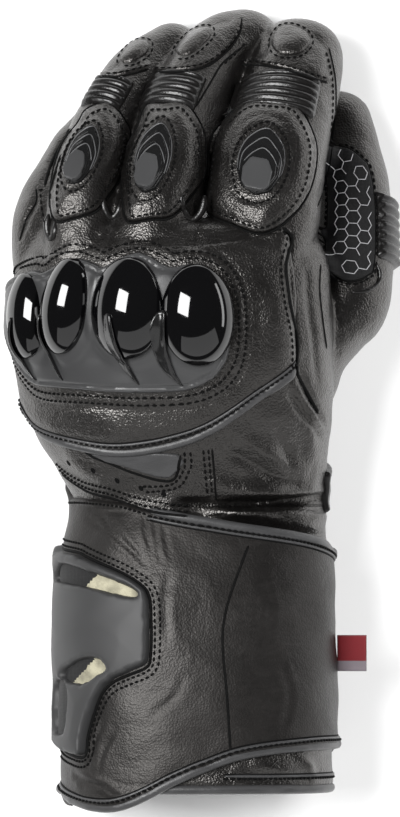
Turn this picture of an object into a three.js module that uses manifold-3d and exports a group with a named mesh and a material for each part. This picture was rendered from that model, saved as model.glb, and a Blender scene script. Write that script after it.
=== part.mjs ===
// A left motorcycle gauntlet glove, lying palm down on its cuff and fingertips as it would on a table.
// Millimetres. +X is towards the thumb, +Y towards the fingertips, +Z up from the back of the hand.
import * as THREE from "three";
import { mergeVertices } from "three/addons/utils/BufferGeometryUtils.js";
import Module from "manifold-3d";

const wasm = await Module();
wasm.setup();

// Driving dimensions
const WALL = 2.2; // leather, with the thin padding behind it
const GAP = 0.4; // between pieces that are sewn or moulded together
const SEAT = 0.7; // how far a laid-on piece stands off the leather, so that their facets never meet
const PIPING = 1.7; // radius of the rolled edge bindings
const WRIST_Y = -35; // where the hand part and the gauntlet are sewn together
const HEM_Y = -136; // end of the gauntlet
const TRUNK_SIDES = 24;
const FINGER_SIDES = 12;

const degrees = (angle) => (angle * Math.PI) / 180;
const signedPower = (value, power) => Math.sign(value) * Math.abs(value) ** power;
const mix = (a, b, share) => a + (b - a) * share;

// The columns of every table of sections. x, y and z are the centre, w and h the half width and half height,
// roll turns the section about its centre line, square is the power of its superellipse, and arch is how far
// its two edges hang below its middle.
const COLUMNS = ["x", "y", "z", "w", "h", "roll", "square", "arch"];

// The wrist, palm and gauntlet, in sections that stand square to Y.
const TRUNK_ROWS = [
  [0, -152, 35, 48, 37.2, 0, 2.3, 0],
  [0, HEM_Y, 35, 47.8, 37.2, 0, 2.3, 0],
  [0, -105, 35, 47.2, 37.2, 0, 2.3, 0],
  [0, -72, 33.8, 46.5, 36, 0, 2.3, 0],
  [-0.5, -50, 31.7, 46.5, 33.4, 0, 2.3, 0],
  [0, WRIST_Y, 33, 45, 28.5, 0, 2.2, 0],
  [-3, -22, 37.5, 48.5, 28.5, 1, 2.2, 1],
  [-6.5, -8, 43.5, 53.5, 29.5, 3, 2.2, 3],
  [-8.5, 8, 51, 56, 29, 5, 2.2, 7],
  [-10.5, 26, 59, 57.5, 26.5, 6, 2.2, 10],
  [-11, 42, 64, 57, 23, 6, 2.2, 12],
  [-11, 54, 65, 55.5, 19, 6, 2.2, 12],
  [-11, 62, 64, 52, 15, 6, 2.2, 12],
];

// The five stalls, each from its root inside the palm to the centre of its rounded tip.
const LITTLE_ROWS = [
  [-53, 34, 51, 8, 9, 8, 2, 0],
  [-55.5, 54, 45, 12, 12.5, 5, 2.1, 0],
  [-54.5, 71, 36, 11.8, 12, 0, 2.1, 0],
  [-48.5, 82, 27.8, 11.5, 11.5, 0, 2.1, 0],
  [-43.5, 91.5, 19.8, 11.3, 11.2, 0, 2.1, 0],
  [-35.5, 101, 11, 10.8, 11, 0, 2, 0],
];
const RING_ROWS = [
  [-43, 34, 60, 10, 11, 10, 2, 0],
  [-42, 56, 60, 14, 14.5, 12, 2.1, 0],
  [-39.5, 82, 51.5, 13.5, 14.2, 14, 2.1, 0],
  [-35.5, 96, 42.5, 12.4, 13.2, 18, 2.1, 0],
  [-29, 108.5, 32.5, 12, 12.8, 24, 2.1, 0],
  [-21, 119.5, 21.5, 12.2, 12.6, 30, 2.1, 0],
  [-10.5, 127, 12.4, 12, 12.5, 30, 2, 0],
];
const MIDDLE_ROWS = [
  [-21, 34, 65, 11, 12, 8, 2, 0],
  [-18, 56, 64.5, 15.3, 15.5, 12, 2.1, 0],
  [-12.5, 83, 55.5, 14.8, 15.2, 18, 2.1, 0],
  [-9, 97, 46.5, 14, 14.5, 22, 2.1, 0],
  [-4.5, 109, 37, 13.8, 14.2, 28, 2.1, 0],
  [1.5, 120, 27, 14.2, 14, 32, 2.1, 0],
  [8.5, 128, 18.5, 14.2, 13.8, 32, 2.1, 0],
  [16, 131, 13.6, 13.6, 13.7, 32, 2, 0],
];
const INDEX_ROWS = [
  [10, 32, 63, 12, 12, 8, 2, 0],
  [20.5, 54, 61, 19, 16.5, 10, 2.1, 0],
  [24.5, 82, 54, 20, 16.5, 12, 2.1, 0],
  [28.5, 97, 46, 18.2, 15.2, 12, 2.1, 0],
  [31.5, 109, 37, 17.4, 14.6, 12, 2.1, 0],
  [33.8, 119, 29, 17.4, 14.4, 12, 2.1, 0],
  [35.5, 127, 22, 16.4, 14, 12, 2, 0],
];
const THUMB_ROWS = [
  [21, -18, 34, 10, 13, 0, 2, 0],
  [35, 2, 37, 15, 18, 0, 2.1, 0],
  [45.5, 20, 37, 16.5, 18.5, 0, 2.1, 0],
  [52.5, 39, 34, 16, 17, 0, 2.1, 0],
  [55, 58, 29.5, 14.8, 15.5, 0, 2.1, 0],
  [55.2, 76, 23.5, 13.6, 14, 0, 2.1, 0],
  [53, 91, 17, 12.8, 13.2, 0, 2.1, 0],
  [50.5, 103.5, 12, 11.5, 12.2, 0, 2, 0],
];

// A bent tube: a smooth curve through a table of sections, closed by a round tip past the last one.
class Tube {
  constructor(rows, { standing = false, tip = 0 } = {}) {
    this.rows = rows;
    this.standing = standing;
    this.tip = tip;
    this.last = rows.length - 1;
    this.ridges = new Map();
  }

  // A column's value at a place between the rows, on a Catmull-Rom curve. A place is a row's number.
  value(column, place) {
    const index = COLUMNS.indexOf(column);
    const row = Math.min(Math.max(Math.floor(place), 0), this.last - 1);
    const t = place - row;
    const [a, b, c, d] = [row - 1, row, row + 1, row + 2].map(
      (n) => this.rows[Math.min(Math.max(n, 0), this.last)][index],
    );
    return b + 0.5 * t * (c - a + t * (2 * a - 5 * b + 4 * c - d + t * (3 * (b - c) + d - a)));
  }

  centre(place) {
    return new THREE.Vector3(...["x", "y", "z"].map((column) => this.value(column, place)));
  }

  // The centre, the directions across, up and along, and how much the round tip has closed.
  frame(place, rise = 0) {
    const held = Math.min(place, this.last);
    const turn = degrees(Math.min(Math.max(place - this.last, 0), 1) * 90);
    const along = this.standing
      ? new THREE.Vector3(0, 1, 0)
      : this.centre(held).sub(this.centre(held - 0.05)).normalize();
    const across = new THREE.Vector3(along.y, -along.x, 0).normalize();
    const up = across.clone().cross(along);
    const roll = degrees(this.value("roll", held));
    const centre = this.centre(held).addScaledVector(along, (this.tip + rise) * Math.sin(turn));
    return {
      centre,
      along,
      across: across.clone().multiplyScalar(Math.cos(roll)).addScaledVector(up, Math.sin(roll)),
      up: up.clone().multiplyScalar(Math.cos(roll)).addScaledVector(across, -Math.sin(roll)),
      shrink: Math.cos(turn),
    };
  }

  // The point at an angle round the section, 0 on the thumb's side and 90 on the back of the hand, and at a
  // rise above the leather. What would sink into the table is flattened against it.
  point(place, angle, rise = 0) {
    const held = Math.min(place, this.last);
    const { centre, across, up, shrink } = this.frame(place, rise);
    const power = 2 / this.value("square", held);
    const side = signedPower(Math.cos(degrees(angle)), power);
    const width = (this.value("w", held) + rise) * shrink * side;
    const height = (this.value("h", held) + rise) * shrink * signedPower(Math.sin(degrees(angle)), power);
    const arch = this.value("arch", held) * side * side * shrink;
    const point = centre.addScaledVector(across, width).addScaledVector(up, height - arch);
    point.z = Math.max(point.z, -rise);
    return point;
  }

  // The place where the centre line reaches a value of y.
  placeAt(y) {
    let [low, high] = [0, this.last];
    while (high - low > 1e-6) {
      const middle = (low + high) / 2;
      if (this.value("y", middle) < y) low = middle;
      else high = middle;
    }
    return (low + high) / 2;
  }

  // The angle, on the upper side, where the leather is at a value of x.
  angleAt(x, y) {
    const place = this.placeAt(y);
    let [low, high] = [0, 180];
    while (high - low > 1e-4) {
      const middle = (low + high) / 2;
      if (this.point(place, middle).x > x) low = middle;
      else high = middle;
    }
    return (low + high) / 2;
  }

  // The place where the ridge line, on top of the tube, is seen from above at a value of y.
  placeOfRidge(y) {
    if (this.standing) return this.placeAt(y);
    if (this.ridges.has(y)) return this.ridges.get(y);
    let [low, high] = [0, this.last + 1];
    while (high - low > 1e-6) {
      const middle = (low + high) / 2;
      if (this.point(middle, 90).y < y) low = middle;
      else high = middle;
    }
    this.ridges.set(y, (low + high) / 2);
    return (low + high) / 2;
  }

  // A point at an angle, a rise, and the y at which the section's ridge is seen from above.
  seen(angle, y, rise) {
    return this.point(this.placeOfRidge(y), angle, rise);
  }
}

const trunk = new Tube(TRUNK_ROWS, { standing: true, tip: 6 });
const stalls = {
  index: new Tube(INDEX_ROWS, { tip: 14 }),
  middle: new Tube(MIDDLE_ROWS, { tip: 13.5 }),
  ring: new Tube(RING_ROWS, { tip: 12 }),
  little: new Tube(LITTLE_ROWS, { tip: 10 }),
  thumb: new Tube(THUMB_ROWS, { tip: 11 }),
};

// A solid from a list of points and triangles, turned the right way out.
function solidFrom(points, triangles) {
  const build = (list) =>
    new wasm.Manifold(
      new wasm.Mesh({
        numProp: 3,
        vertProperties: new Float32Array(points.flatMap((p) => [p.x, p.y, p.z])),
        triVerts: new Uint32Array(list.flat()),
      }),
    );
  const made = build(triangles);
  return made.volume() > 0 ? made : build(triangles.map(([a, b, c]) => [a, c, b]));
}

function solidOfGeometry(geometry) {
  const bare = geometry.clone();
  bare.deleteAttribute("normal");
  bare.deleteAttribute("uv");
  const merged = mergeVertices(bare, 1e-4);
  const array = merged.attributes.position.array;
  const points = [];
  for (let i = 0; i < array.length; i += 3) points.push(new THREE.Vector3(...array.slice(i, i + 3)));
  const triangles = [];
  for (let i = 0; i < merged.index.count; i += 3) triangles.push([...merged.index.array.slice(i, i + 3)]);
  return solidFrom(points, triangles);
}

// The two triangles of a quad.
const quad = (a, b, c, d) => [
  [a, b, c],
  [a, c, d],
];

// A filled tube between two places, with flat ends or, past the last row, a round tip.
function filled(tube, from, to, rings, sides, rise = 0) {
  const points = [];
  const triangles = [];
  const round = to > tube.last;
  for (let ring = 0; ring <= rings; ring++) {
    if (round && ring === rings) break;
    for (let side = 0; side < sides; side++) {
      points.push(tube.point(mix(from, to, ring / rings), (360 * side) / sides, rise));
    }
  }
  const ringCount = points.length / sides;
  for (let ring = 0; ring + 1 < ringCount; ring++) {
    for (let side = 0; side < sides; side++) {
      const [here, next] = [ring * sides, (ring + 1) * sides];
      const beside = (side + 1) % sides;
      triangles.push(...quad(here + side, here + beside, next + beside, next + side));
    }
  }
  const first = points.push(tube.centre(from)) - 1;
  const end = round ? tube.frame(tube.last + 1, rise).centre : tube.centre(to);
  const last = points.push(end) - 1;
  const top = (ringCount - 1) * sides;
  for (let side = 0; side < sides; side++) {
    const beside = (side + 1) % sides;
    triangles.push([first, beside, side], [last, top + side, top + beside]);
  }
  return solidFrom(points, triangles);
}

// A laid-on sheet: a grid of cells between an inner and an outer surface. place(p, q, outer) gives a point for
// p and q from 0 to 1. A ring is closed in q, and with a pole the first row is one point.
function sheet(place, rows, columns, { ring = false, pole = false } = {}) {
  const width = ring ? columns : columns + 1;
  const points = [];
  const triangles = [];
  for (const outer of [false, true]) {
    for (let row = 0; row <= rows; row++) {
      for (let column = 0; column < width; column++) {
        points.push(place(row / rows, column / columns, outer));
      }
    }
  }
  const index = (row, column, outer) =>
    (outer ? (rows + 1) * width : 0) + row * width + (pole && row === 0 ? 0 : column % width);
  for (let row = 0; row < rows; row++) {
    for (let column = 0; column < columns; column++) {
      const cell = [
        [row, column],
        [row, column + 1],
        [row + 1, column + 1],
        [row + 1, column],
      ];
      triangles.push(...quad(...cell.map(([r, c]) => index(r, c, true))));
      triangles.push(...quad(...cell.map(([r, c]) => index(r, c, false)).reverse()));
    }
  }
  const wall = (a, b) => {
    triangles.push(...quad(index(...a, false), index(...b, false), index(...b, true), index(...a, true)));
  };
  for (let column = 0; column < columns; column++) {
    if (!pole) wall([0, column], [0, column + 1]);
    wall([rows, column + 1], [rows, column]);
  }
  if (!ring) {
    for (let row = 0; row < rows; row++) {
      wall([row + 1, 0], [row, 0]);
      wall([row, columns], [row + 1, columns]);
    }
  }
  const whole = triangles.filter(([a, b, c]) => a !== b && b !== c && c !== a);
  return tidy(points, whole);
}

// Drops the points that no triangle uses, which a pole leaves.
function tidy(points, triangles) {
  const used = [...new Set(triangles.flat())];
  const number = new Map(used.map((old, fresh) => [old, fresh]));
  return solidFrom(
    used.map((old) => points[old]),
    triangles.map((triangle) => triangle.map((old) => number.get(old))),
  );
}

// Turns an outline of [across, along] points round a centre into a function of the turn from 0 to 1. Where the
// outline is given in degrees across, unit is the length of one of them in millimetres.
function polar(outline, [middle, level], unit = 1) {
  const corners = outline.map(([across, along]) => [(across - middle) * unit, along - level]);
  return (turn) => {
    const [dx, dy] = [Math.cos(2 * Math.PI * turn), Math.sin(2 * Math.PI * turn)];
    let reach = 0;
    corners.forEach(([ax, ay], i) => {
      const [bx, by] = corners[(i + 1) % corners.length];
      const cross = dx * (by - ay) - dy * (bx - ax);
      const share = (ax * dy - ay * dx) / (cross || 1e-9);
      const distance = (ax * (by - ay) - ay * (bx - ax)) / (cross || 1e-9);
      if (share >= -1e-9 && share <= 1 + 1e-9 && distance > reach) reach = distance;
    });
    return [(dx * reach) / unit + middle, dy * reach + level];
  };
}

// A rope of round section along a list of points.
function rope(points, radius, steps, sides = 8) {
  const shape = new THREE.Shape();
  shape.absarc(0, 0, radius, 0, 2 * Math.PI, false);
  const extrudePath = new THREE.CatmullRomCurve3(points);
  const geometry = new THREE.ExtrudeGeometry(shape, { steps, extrudePath, curveSegments: sides });
  return solidOfGeometry(geometry);
}

const joined = (solids) => solids.reduce((a, b) => a.add(b));
const cut = (solid, tools) => tools.reduce((a, b) => a.subtract(b), solid);
const largest = (solid) => solid.decompose().sort((a, b) => b.volume() - a.volume())[0];

const glove = new THREE.Group();

// Colours and finishes
const finish = (color, roughness, metalness = 0) =>
  new THREE.MeshStandardMaterial({ color, roughness, metalness });
const materials = {
  leather: finish(0x1c1b1b, 0.45),
  trim: finish(0x3a3b3c, 0.55),
  matte: finish(0x47484a, 0.5),
  gloss: finish(0x08090a, 0.06),
  foam: finish(0xcfc9a4, 0.9),
  mesh: finish(0x0b0b0c, 0.7),
  tag: finish(0x6a6268, 0.8),
};

function add(name, material, solid) {
  const { vertProperties, triVerts, numProp } = largest(solid).getMesh();
  const positions = [];
  for (let i = 0; i < vertProperties.length; i += numProp) positions.push(...vertProperties.slice(i, i + 3));
  const geometry = new THREE.BufferGeometry();
  geometry.setAttribute("position", new THREE.Float32BufferAttribute(positions, 3));
  geometry.setIndex([...triVerts]);
  geometry.computeVertexNormals();
  const mesh = new THREE.Mesh(geometry, materials[material]);
  mesh.name = name;
  glove.add(mesh);
}

// The leather shells. Each stall gives way to the ones before it, and all are hollow into the palm.
const stallSolid = (tube, rise) => filled(tube, 0, tube.last + 1, 10, FINGER_SIDES, rise);
const stallHollow = (tube) => filled(tube, 0, tube.last + 1, 8, 8, -WALL);
const panelRoom = Object.values(stalls).map((tube) => stallSolid(tube, GAP + 0.06));
const stallRoom = Object.values(stalls).map((tube) => stallSolid(tube, GAP));
const trunkSolid = (from, to, rings, sides, rise) => filled(trunk, from, to, rings, sides, rise);
const wrist = trunk.placeAt(WRIST_Y);
const trunkHollow = trunkSolid(0, trunk.last + 1, 10, 16, -WALL);
const handOuter = (rise) => trunkSolid(wrist - rise * 0.1, trunk.last + 1, 9, TRUNK_SIDES, rise);

// Half of a shell, from its tip to a place near its root: the back, or the palm side.
function halfShell(tube, from, side, rows, columns) {
  const slit = tube.standing ? 0.9 : 1.4;
  const [first, last] = side === "back" ? [slit, 180 - slit] : [180 + slit, 360 - slit];
  const place = (p, q, outer) =>
    tube.point(mix(tube.last + 1, from, p), mix(first, last, q), outer ? 0 : -WALL);
  return sheet(place, rows, columns, { pole: true });
}

const handRoom = handOuter(GAP);

function addShells() {
  const hollows = [];
  const taken = [handRoom];
  for (const [name, tube] of Object.entries(stalls)) {
    for (const side of ["back", "palm"]) {
      const half = halfShell(tube, 0, side, 10, FINGER_SIDES / 2);
      add(`${name}_stall_${side}`, "leather", cut(half, [...taken, ...hollows, trunkHollow]));
    }
    hollows.push(stallHollow(tube));
    taken.push(stallSolid(tube, GAP));
  }
  for (const side of ["back", "palm"]) {
    add(`hand_${side}`, "leather", cut(halfShell(trunk, wrist, side, 9, TRUNK_SIDES / 2), hollows));
  }
  const top = trunk.placeAt(WRIST_Y - GAP);
  add("gauntlet", "leather", cut(trunkSolid(trunk.placeAt(HEM_Y), top, 7, TRUNK_SIDES, 0), [trunkHollow]));
}

// Reads a table whose first column is the angle round the tube, in straight lines between its rows.
function readTable(table, angle, column) {
  const after = table.findIndex((row) => row[0] >= angle - 1e-9);
  if (after <= 0) return table.at(after < 0 ? -1 : 0)[column];
  const [a, b] = [table[after - 1], table[after]];
  return mix(a[column], b[column], (angle - a[0]) / (b[0] - a[0]));
}

// A piece laid on a tube between two edges. The table's columns are the angle, and the y of the lower and of
// the upper edge as they are seen from above. height(p, q) is the outer face's rise, p across from edge to edge
// and q along the table; margin widens the whole piece, for the opening that it sits in.
function laid(tube, table, height, rows, columns, { margin = 0, under = SEAT } = {}) {
  const [first, last] = [table[0][0], table.at(-1)[0]];
  return sheet(
    (p, q, outer) => {
      const angle = mix(first - margin, last + margin, q);
      const low = readTable(table, angle, 1) - margin;
      const high = readTable(table, angle, 2) + margin;
      return tube.seen(angle, mix(low, high, p), outer ? height(p, q) : under);
    },
    rows,
    columns,
  );
}

// A laid piece with a rounded outline: a superellipse between two angles and two values of y.
function cushion(tube, [angleA, angleB, low, high], height, rows, columns, { power = 3.2, under = SEAT } = {}) {
  return sheet(
    (p, q, outer) => {
      const reach = Math.sin((p * Math.PI) / 2);
      const [across, along] = [Math.cos(2 * Math.PI * q), Math.sin(2 * Math.PI * q)];
      const angle = mix(angleB, angleA, 0.5 + 0.5 * reach * signedPower(across, 2 / power));
      const y = mix(low, high, 0.5 + 0.5 * reach * signedPower(along, 2 / power));
      return tube.seen(angle, y, outer ? height(reach, q) : under);
    },
    rows,
    columns,
    { ring: true, pole: true },
  );
}

const pillow = (edge, top, power = 4) => (reach) => edge + (top - edge) * (1 - reach ** power);
const bulge = (share, power) => 1 - Math.abs(2 * share - 1) ** power;

// The quilted pads, the sliders on them, the folds beyond them and the padded fingertips, in columns of the two
// angles and the lower and upper y as seen from above.
const PADS = {
  ring: [48, 158, 68.5, 110],
  middle: [45, 140, 69.5, 108],
  index: [28, 150, 67.5, 108],
};
const SLIDERS = {
  ring: [55, 125, 79.5, 100],
  middle: [55, 125, 78.5, 101],
  index: [62, 118, 76.5, 99],
};
const RIBS = {
  ring: [52, 145, 111.5, 119, 3],
  middle: [42, 135, 109.5, 121, 3],
  index: [25, 145, 109.5, 123.5, 4],
};
const TIPS = {
  ring: [70, 125, 124, 135],
  middle: [78, 128, 127, 138.5],
  index: [70, 118, 128, 137.5],
};
const PAD_RISE = 3;
const SLIDER_FLOOR = PAD_RISE + 0.45;

// Three terraces, each smaller than the one below and nearer to the wrist.
function slider(tube, [angleA, angleB, low, high]) {
  const shrunk = (share, shift) => {
    const [middle, level] = [(angleA + angleB) / 2, (low + high) / 2 - shift * (high - low)];
    const [wide, long] = [((angleB - angleA) * share) / 2, ((high - low) * share) / 2];
    return [middle - wide, middle + wide, level - long, level + long];
  };
  const terrace = (share, shift, under, top) =>
    cushion(tube, shrunk(share, shift), () => top, 2, 10, { power: 2.4, under });
  return joined([
    terrace(1, 0, SLIDER_FLOOR, SLIDER_FLOOR + 1.5),
    terrace(0.74, 0.06, SLIDER_FLOOR + 0.2, SLIDER_FLOOR + 2.8),
    terrace(0.5, 0.12, SLIDER_FLOOR + 0.2, SLIDER_FLOOR + 4),
  ]);
}

// Accordion folds: a sheet whose rise goes up and down once for each fold.
function ribs(tube, [angleA, angleB, low, high, folds], columns) {
  const table = [
    [angleA, low, high],
    [angleB, low, high],
  ];
  const height = (p, q) => {
    const crest = Math.round(p * folds * 2) % 2;
    return SEAT + 0.9 + 1.5 * crest * bulge(q, 4);
  };
  return laid(tube, table, height, folds * 2, columns);
}

function addFingerPieces() {
  for (const name of ["ring", "middle", "index"]) {
    const tube = stalls[name];
    const own = stallRoom[Object.keys(stalls).indexOf(name)];
    const pad = cushion(tube, PADS[name], pillow(SEAT + 1, PAD_RISE), 3, 16);
    add(`${name}_finger_pad`, "leather", cut(pad, [handRoom, ...stallRoom.filter((room) => room !== own)]));
    add(`${name}_slider`, "matte", slider(tube, SLIDERS[name]));
    add(`${name}_flex_ribs`, "leather", ribs(tube, RIBS[name], 7));
    add(`${name}_tip_patch`, "leather", cushion(tube, TIPS[name], pillow(SEAT + 0.6, 2.6, 2), 2, 12, { power: 2 }));
  }
  add("thumb_flex_ribs", "leather", ribs(stalls.thumb, [-30, 40, 56, 80, 6], 4));
  const panel = [
    [48, 48, 94],
    [125, 48, 94],
  ];
  add("thumb_mesh_panel", "mesh", laid(stalls.thumb, panel, (p, q) => SEAT + 0.5 + 0.5 * bulge(q, 4), 6, 5));
}

// The panel on the back of the hand, and the frame in its opening, in columns of angle, lower y and upper y.
const PANEL = [
  [40, 15, 61],
  [60, 4, 60],
  [78, -6.5, 58],
  [92, -12, 58],
  [104, -14.3, 58],
  [116, -15, 57],
  [128, -13.8, 56],
  [150, -10, 53],
  [160, -7, 50],
  [168, -2.5, 47],
  [175, 3, 40],
];
const FRAME = [
  [66, 15, 48],
  [70, 9, 52],
  [82, 7, 53],
  [92, 6.5, 54.5],
  [107, 6.5, 55],
  [117, 6.5, 52.5],
  [127, 7, 54.5],
  [142, 8, 51.5],
  [155, 9.5, 50.5],
  [168, 13, 48],
  [175.5, 22, 42],
];
// Columns: x, y and the halves of the width, length and height.
const DOMES = {
  little: [-61.5, 32.5, 8.4, 14.4, 7.4],
  ring: [-48.6, 35.8, 8.4, 16, 9],
  middle: [-25.4, 34.6, 12.2, 17.6, 10.5],
  index: [-1, 32.8, 11.3, 16.6, 10],
};
const FRAME_RISE = 4.6;

function dome([x, y, width, length, height], grow) {
  const angle = trunk.angleAt(x, y);
  const centre = trunk.seen(angle, y, 1);
  const along = trunk.seen(angle, y + 1, 1).sub(trunk.seen(angle, y - 1, 1)).normalize();
  const out = trunk.seen(angle, y, 5).sub(centre);
  out.addScaledVector(along, -out.dot(along)).normalize();
  const basis = new THREE.Matrix4().makeBasis(along.clone().cross(out), along, out);
  const ball = new THREE.SphereGeometry(1, 12, 8);
  ball.rotateX(Math.PI / 2);
  ball.scale(width + grow, length + grow, height + grow);
  ball.applyMatrix4(basis);
  ball.translate(centre.x, centre.y, centre.z);
  return solidOfGeometry(ball);
}

function addKnuckles() {
  const under = trunkSolid(wrist, trunk.last, 10, TRUNK_SIDES, SEAT);
  const wells = Object.values(DOMES).map((row) => dome(row, GAP));
  const height = (p, q) => SEAT + 1 + (FRAME_RISE - SEAT - 1) * bulge(p, 6) * bulge(q, 10);
  add("knuckle_frame", "matte", cut(laid(trunk, FRAME, height, 5, 16), [...wells, ...stallRoom]));
  for (const [name, row] of Object.entries(DOMES)) {
    add(`knuckle_dome_${name}`, "gloss", dome(row, 0).subtract(under));
  }
  const opening = laid(trunk, FRAME, () => 9, 3, 16, { margin: 0.5, under: -2 });
  const padding = (p, q) => SEAT + 1 + 1 * bulge(p, 6) * bulge(q, 8);
  add("back_panel", "leather", cut(laid(trunk, PANEL, padding, 6, 15), [opening, ...panelRoom]));
}

// A rolled binding beside the lower (1) or upper (2) edge of a table.
function binding(table, column, steps) {
  const points = [];
  const shift = (column === 1 ? -1 : 1) * (PIPING + 0.7);
  for (let step = 0; step <= steps; step++) {
    const angle = mix(table[0][0], table.at(-1)[0], step / steps);
    points.push(trunk.seen(angle, readTable(table, angle, column) + shift, SEAT + PIPING + 0.2));
  }
  return rope(points, PIPING, Math.round(steps * 1.5), 3);
}

// The closing flap round the gauntlet, in columns of angle, lower y and upper y.
const FLAP = [
  [-30, -121, -54],
  [0, -121.3, -51.5],
  [40, -121.5, -46.5],
  [76, -124.6, -42.5],
  [97, -133, -39],
  [114, -139.5, -36.5],
  [125, -142, -34],
  [150, -139.5, -32.5],
  [180, -138, -32.5],
  [205, -136, -34],
];
const FLAP_RISE = 2.6;
// The moulded guard on the flap, its slit, and the two openings below.
const GUARD = [
  [106, -90, -67],
  [113, -94, -64.5],
  [120, -96, -61.5],
  [128, -100, -58.5],
  [136, -104, -55.5],
  [142, -110, -53.5],
  [147, -124, -52.5],
  [160, -124, -51.5],
  [180, -119, -51],
  [198, -115, -54],
];
const SLIT = [
  [118, -65.4, -64.4],
  [130, -63.2, -60.4],
  [145, -61, -57],
  [168, -60, -55.5],
];
const GUARD_OPENINGS = [
  [
    [124, -96, -93.5],
    [129, -96.5, -90],
    [134, -96.5, -88.5],
  ],
  [
    [149, -118, -101],
    [163, -116.5, -99.5],
  ],
];
const GUARD_RISE = 8.2;
const GUARD_FLOOR = FLAP_RISE + 0.5;
const STRAP = [
  [-100, -37, -19],
  [-20, -37, -19],
  [8, -38, -23],
];
const INSERT = [
  [102, -25.5, -20],
  [108, -25.5, -20.2],
  [130, -21.5, -19.5],
];

// The rolled hem, just past the gauntlet's end.
function hem() {
  const place = (p, q, outer) => {
    const round = bulge(p, 2);
    const y = HEM_Y - GAP - 3 * p;
    return trunk.seen(360 * q, y, outer ? -0.9 + 0.9 * round : -1.1 - 2 * round);
  };
  return sheet(place, 2, TRUNK_SIDES, { ring: true });
}

function addWrist() {
  add("wrist_flap", "leather", laid(trunk, FLAP, () => FLAP_RISE, 5, 25));
  add("flap_binding_top", "trim", binding(FLAP.slice(0, 6), 2, 14));
  add("flap_binding_bottom", "trim", binding(FLAP, 1, 22));
  add("knuckle_binding", "trim", binding(PANEL, 1, 16));
  add("gauntlet_binding", "trim", hem());
  const height = (p, q) => GUARD_FLOOR + 1.6 + (GUARD_RISE - GUARD_FLOOR - 1.6) * bulge(p, 6) * bulge(q, 8);
  const openings = [SLIT, ...GUARD_OPENINGS].map((table) => laid(trunk, table, () => 12, 1, 4, { under: 1 }));
  add("wrist_guard", "matte", cut(laid(trunk, GUARD, height, 5, 11, { under: GUARD_FLOOR }), openings));
  add("wrist_guard_foam", "foam", laid(trunk, SLIT, () => 5.5, 1, 4, { margin: -0.4, under: GUARD_FLOOR }));
  add("wrist_strap", "leather", laid(trunk, STRAP, () => 2.6, 2, 11));
  add("back_insert", "trim", laid(trunk, INSERT, () => 1.8, 1, 4));
  const tag = new THREE.BoxGeometry(10, 13.4, 1.2);
  tag.translate(55.4, -88.3, 37);
  add("side_tag", "tag", solidOfGeometry(tag));
}

addShells();
addFingerPieces();
addKnuckles();
addWrist();

const box = new THREE.Box3().setFromObject(glove);
const middle = box.getCenter(new THREE.Vector3());
glove.position.set(-middle.x, -middle.y, -box.min.z);

export default glove;
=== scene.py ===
"""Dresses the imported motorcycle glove: leather skin, padded panels, knuckle armour, wrist guard and seams."""

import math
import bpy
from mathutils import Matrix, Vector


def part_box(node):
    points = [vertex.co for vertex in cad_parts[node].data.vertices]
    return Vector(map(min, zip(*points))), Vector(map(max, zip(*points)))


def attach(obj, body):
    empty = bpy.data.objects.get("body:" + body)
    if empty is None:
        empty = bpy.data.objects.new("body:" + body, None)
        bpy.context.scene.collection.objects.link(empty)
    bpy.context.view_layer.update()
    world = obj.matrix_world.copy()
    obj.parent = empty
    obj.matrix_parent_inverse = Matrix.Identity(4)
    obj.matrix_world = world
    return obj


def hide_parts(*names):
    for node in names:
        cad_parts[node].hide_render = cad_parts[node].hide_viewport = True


bl_info = {
    "name": "Motorcycle Glove",
    "version": (1, 0, 0),
    "blender": (4, 5, 0),
    "location": "View3D > Sidebar > Glove",
    "description": "Builds the leather, armour and stitching of a left gauntlet glove on its packed frame",
    "category": "Add Mesh",
}

import bpy
import numpy as np
from mathutils import Vector
from mathutils.bvhtree import BVHTree
from mathutils.geometry import delaunay_2d_cdt

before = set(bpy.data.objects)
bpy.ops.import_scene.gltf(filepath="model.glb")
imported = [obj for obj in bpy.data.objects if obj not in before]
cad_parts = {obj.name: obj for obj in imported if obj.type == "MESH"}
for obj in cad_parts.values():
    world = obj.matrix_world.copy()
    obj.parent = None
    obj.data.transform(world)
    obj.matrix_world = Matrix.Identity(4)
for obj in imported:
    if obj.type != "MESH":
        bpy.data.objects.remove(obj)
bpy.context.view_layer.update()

# The glove is drawn in millimetres, in the frame that its source has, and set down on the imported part.
MM = 0.001
TAG_CORNER = np.array([50.4, -95.0, 36.4])
SHIFT = np.array(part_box("side_tag")[0]) - TAG_CORNER * MM
# The leather's thickness, and the y of the wrist seam and of the hem.
WALL = 2.2
WRIST_Y = -35.0
HEM_Y = -136.0

# Sections of the glove: x, y and z of the centre, half width, half height, roll, squareness, arch.
COLUMNS = ["x", "y", "z", "w", "h", "roll", "square", "arch"]
TRUNK_ROWS = [
    [0, -152, 35, 48, 37.2, 0, 2.3, 0],
    [0, HEM_Y, 35, 47.8, 37.2, 0, 2.3, 0],
    [0, -105, 35, 47.2, 37.2, 0, 2.3, 0],
    [0, -72, 33.8, 46.5, 36, 0, 2.3, 0],
    [-0.5, -50, 31.7, 46.5, 33.4, 0, 2.3, 0],
    [0, WRIST_Y, 33, 45, 28.5, 0, 2.2, 0],
    [-3, -22, 37.5, 48.5, 28.5, 1, 2.2, 1],
    [-6.5, -8, 43.5, 53.5, 29.5, 3, 2.2, 3],
    [-8.5, 8, 51, 56, 29, 5, 2.2, 7],
    [-10.5, 26, 59, 57.5, 26.5, 6, 2.2, 10],
    [-11, 42, 64, 57, 23, 6, 2.2, 12],
    [-11, 54, 65, 55.5, 19, 6, 2.2, 12],
    [-11, 62, 64, 52, 15, 6, 2.2, 12],
]
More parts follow.
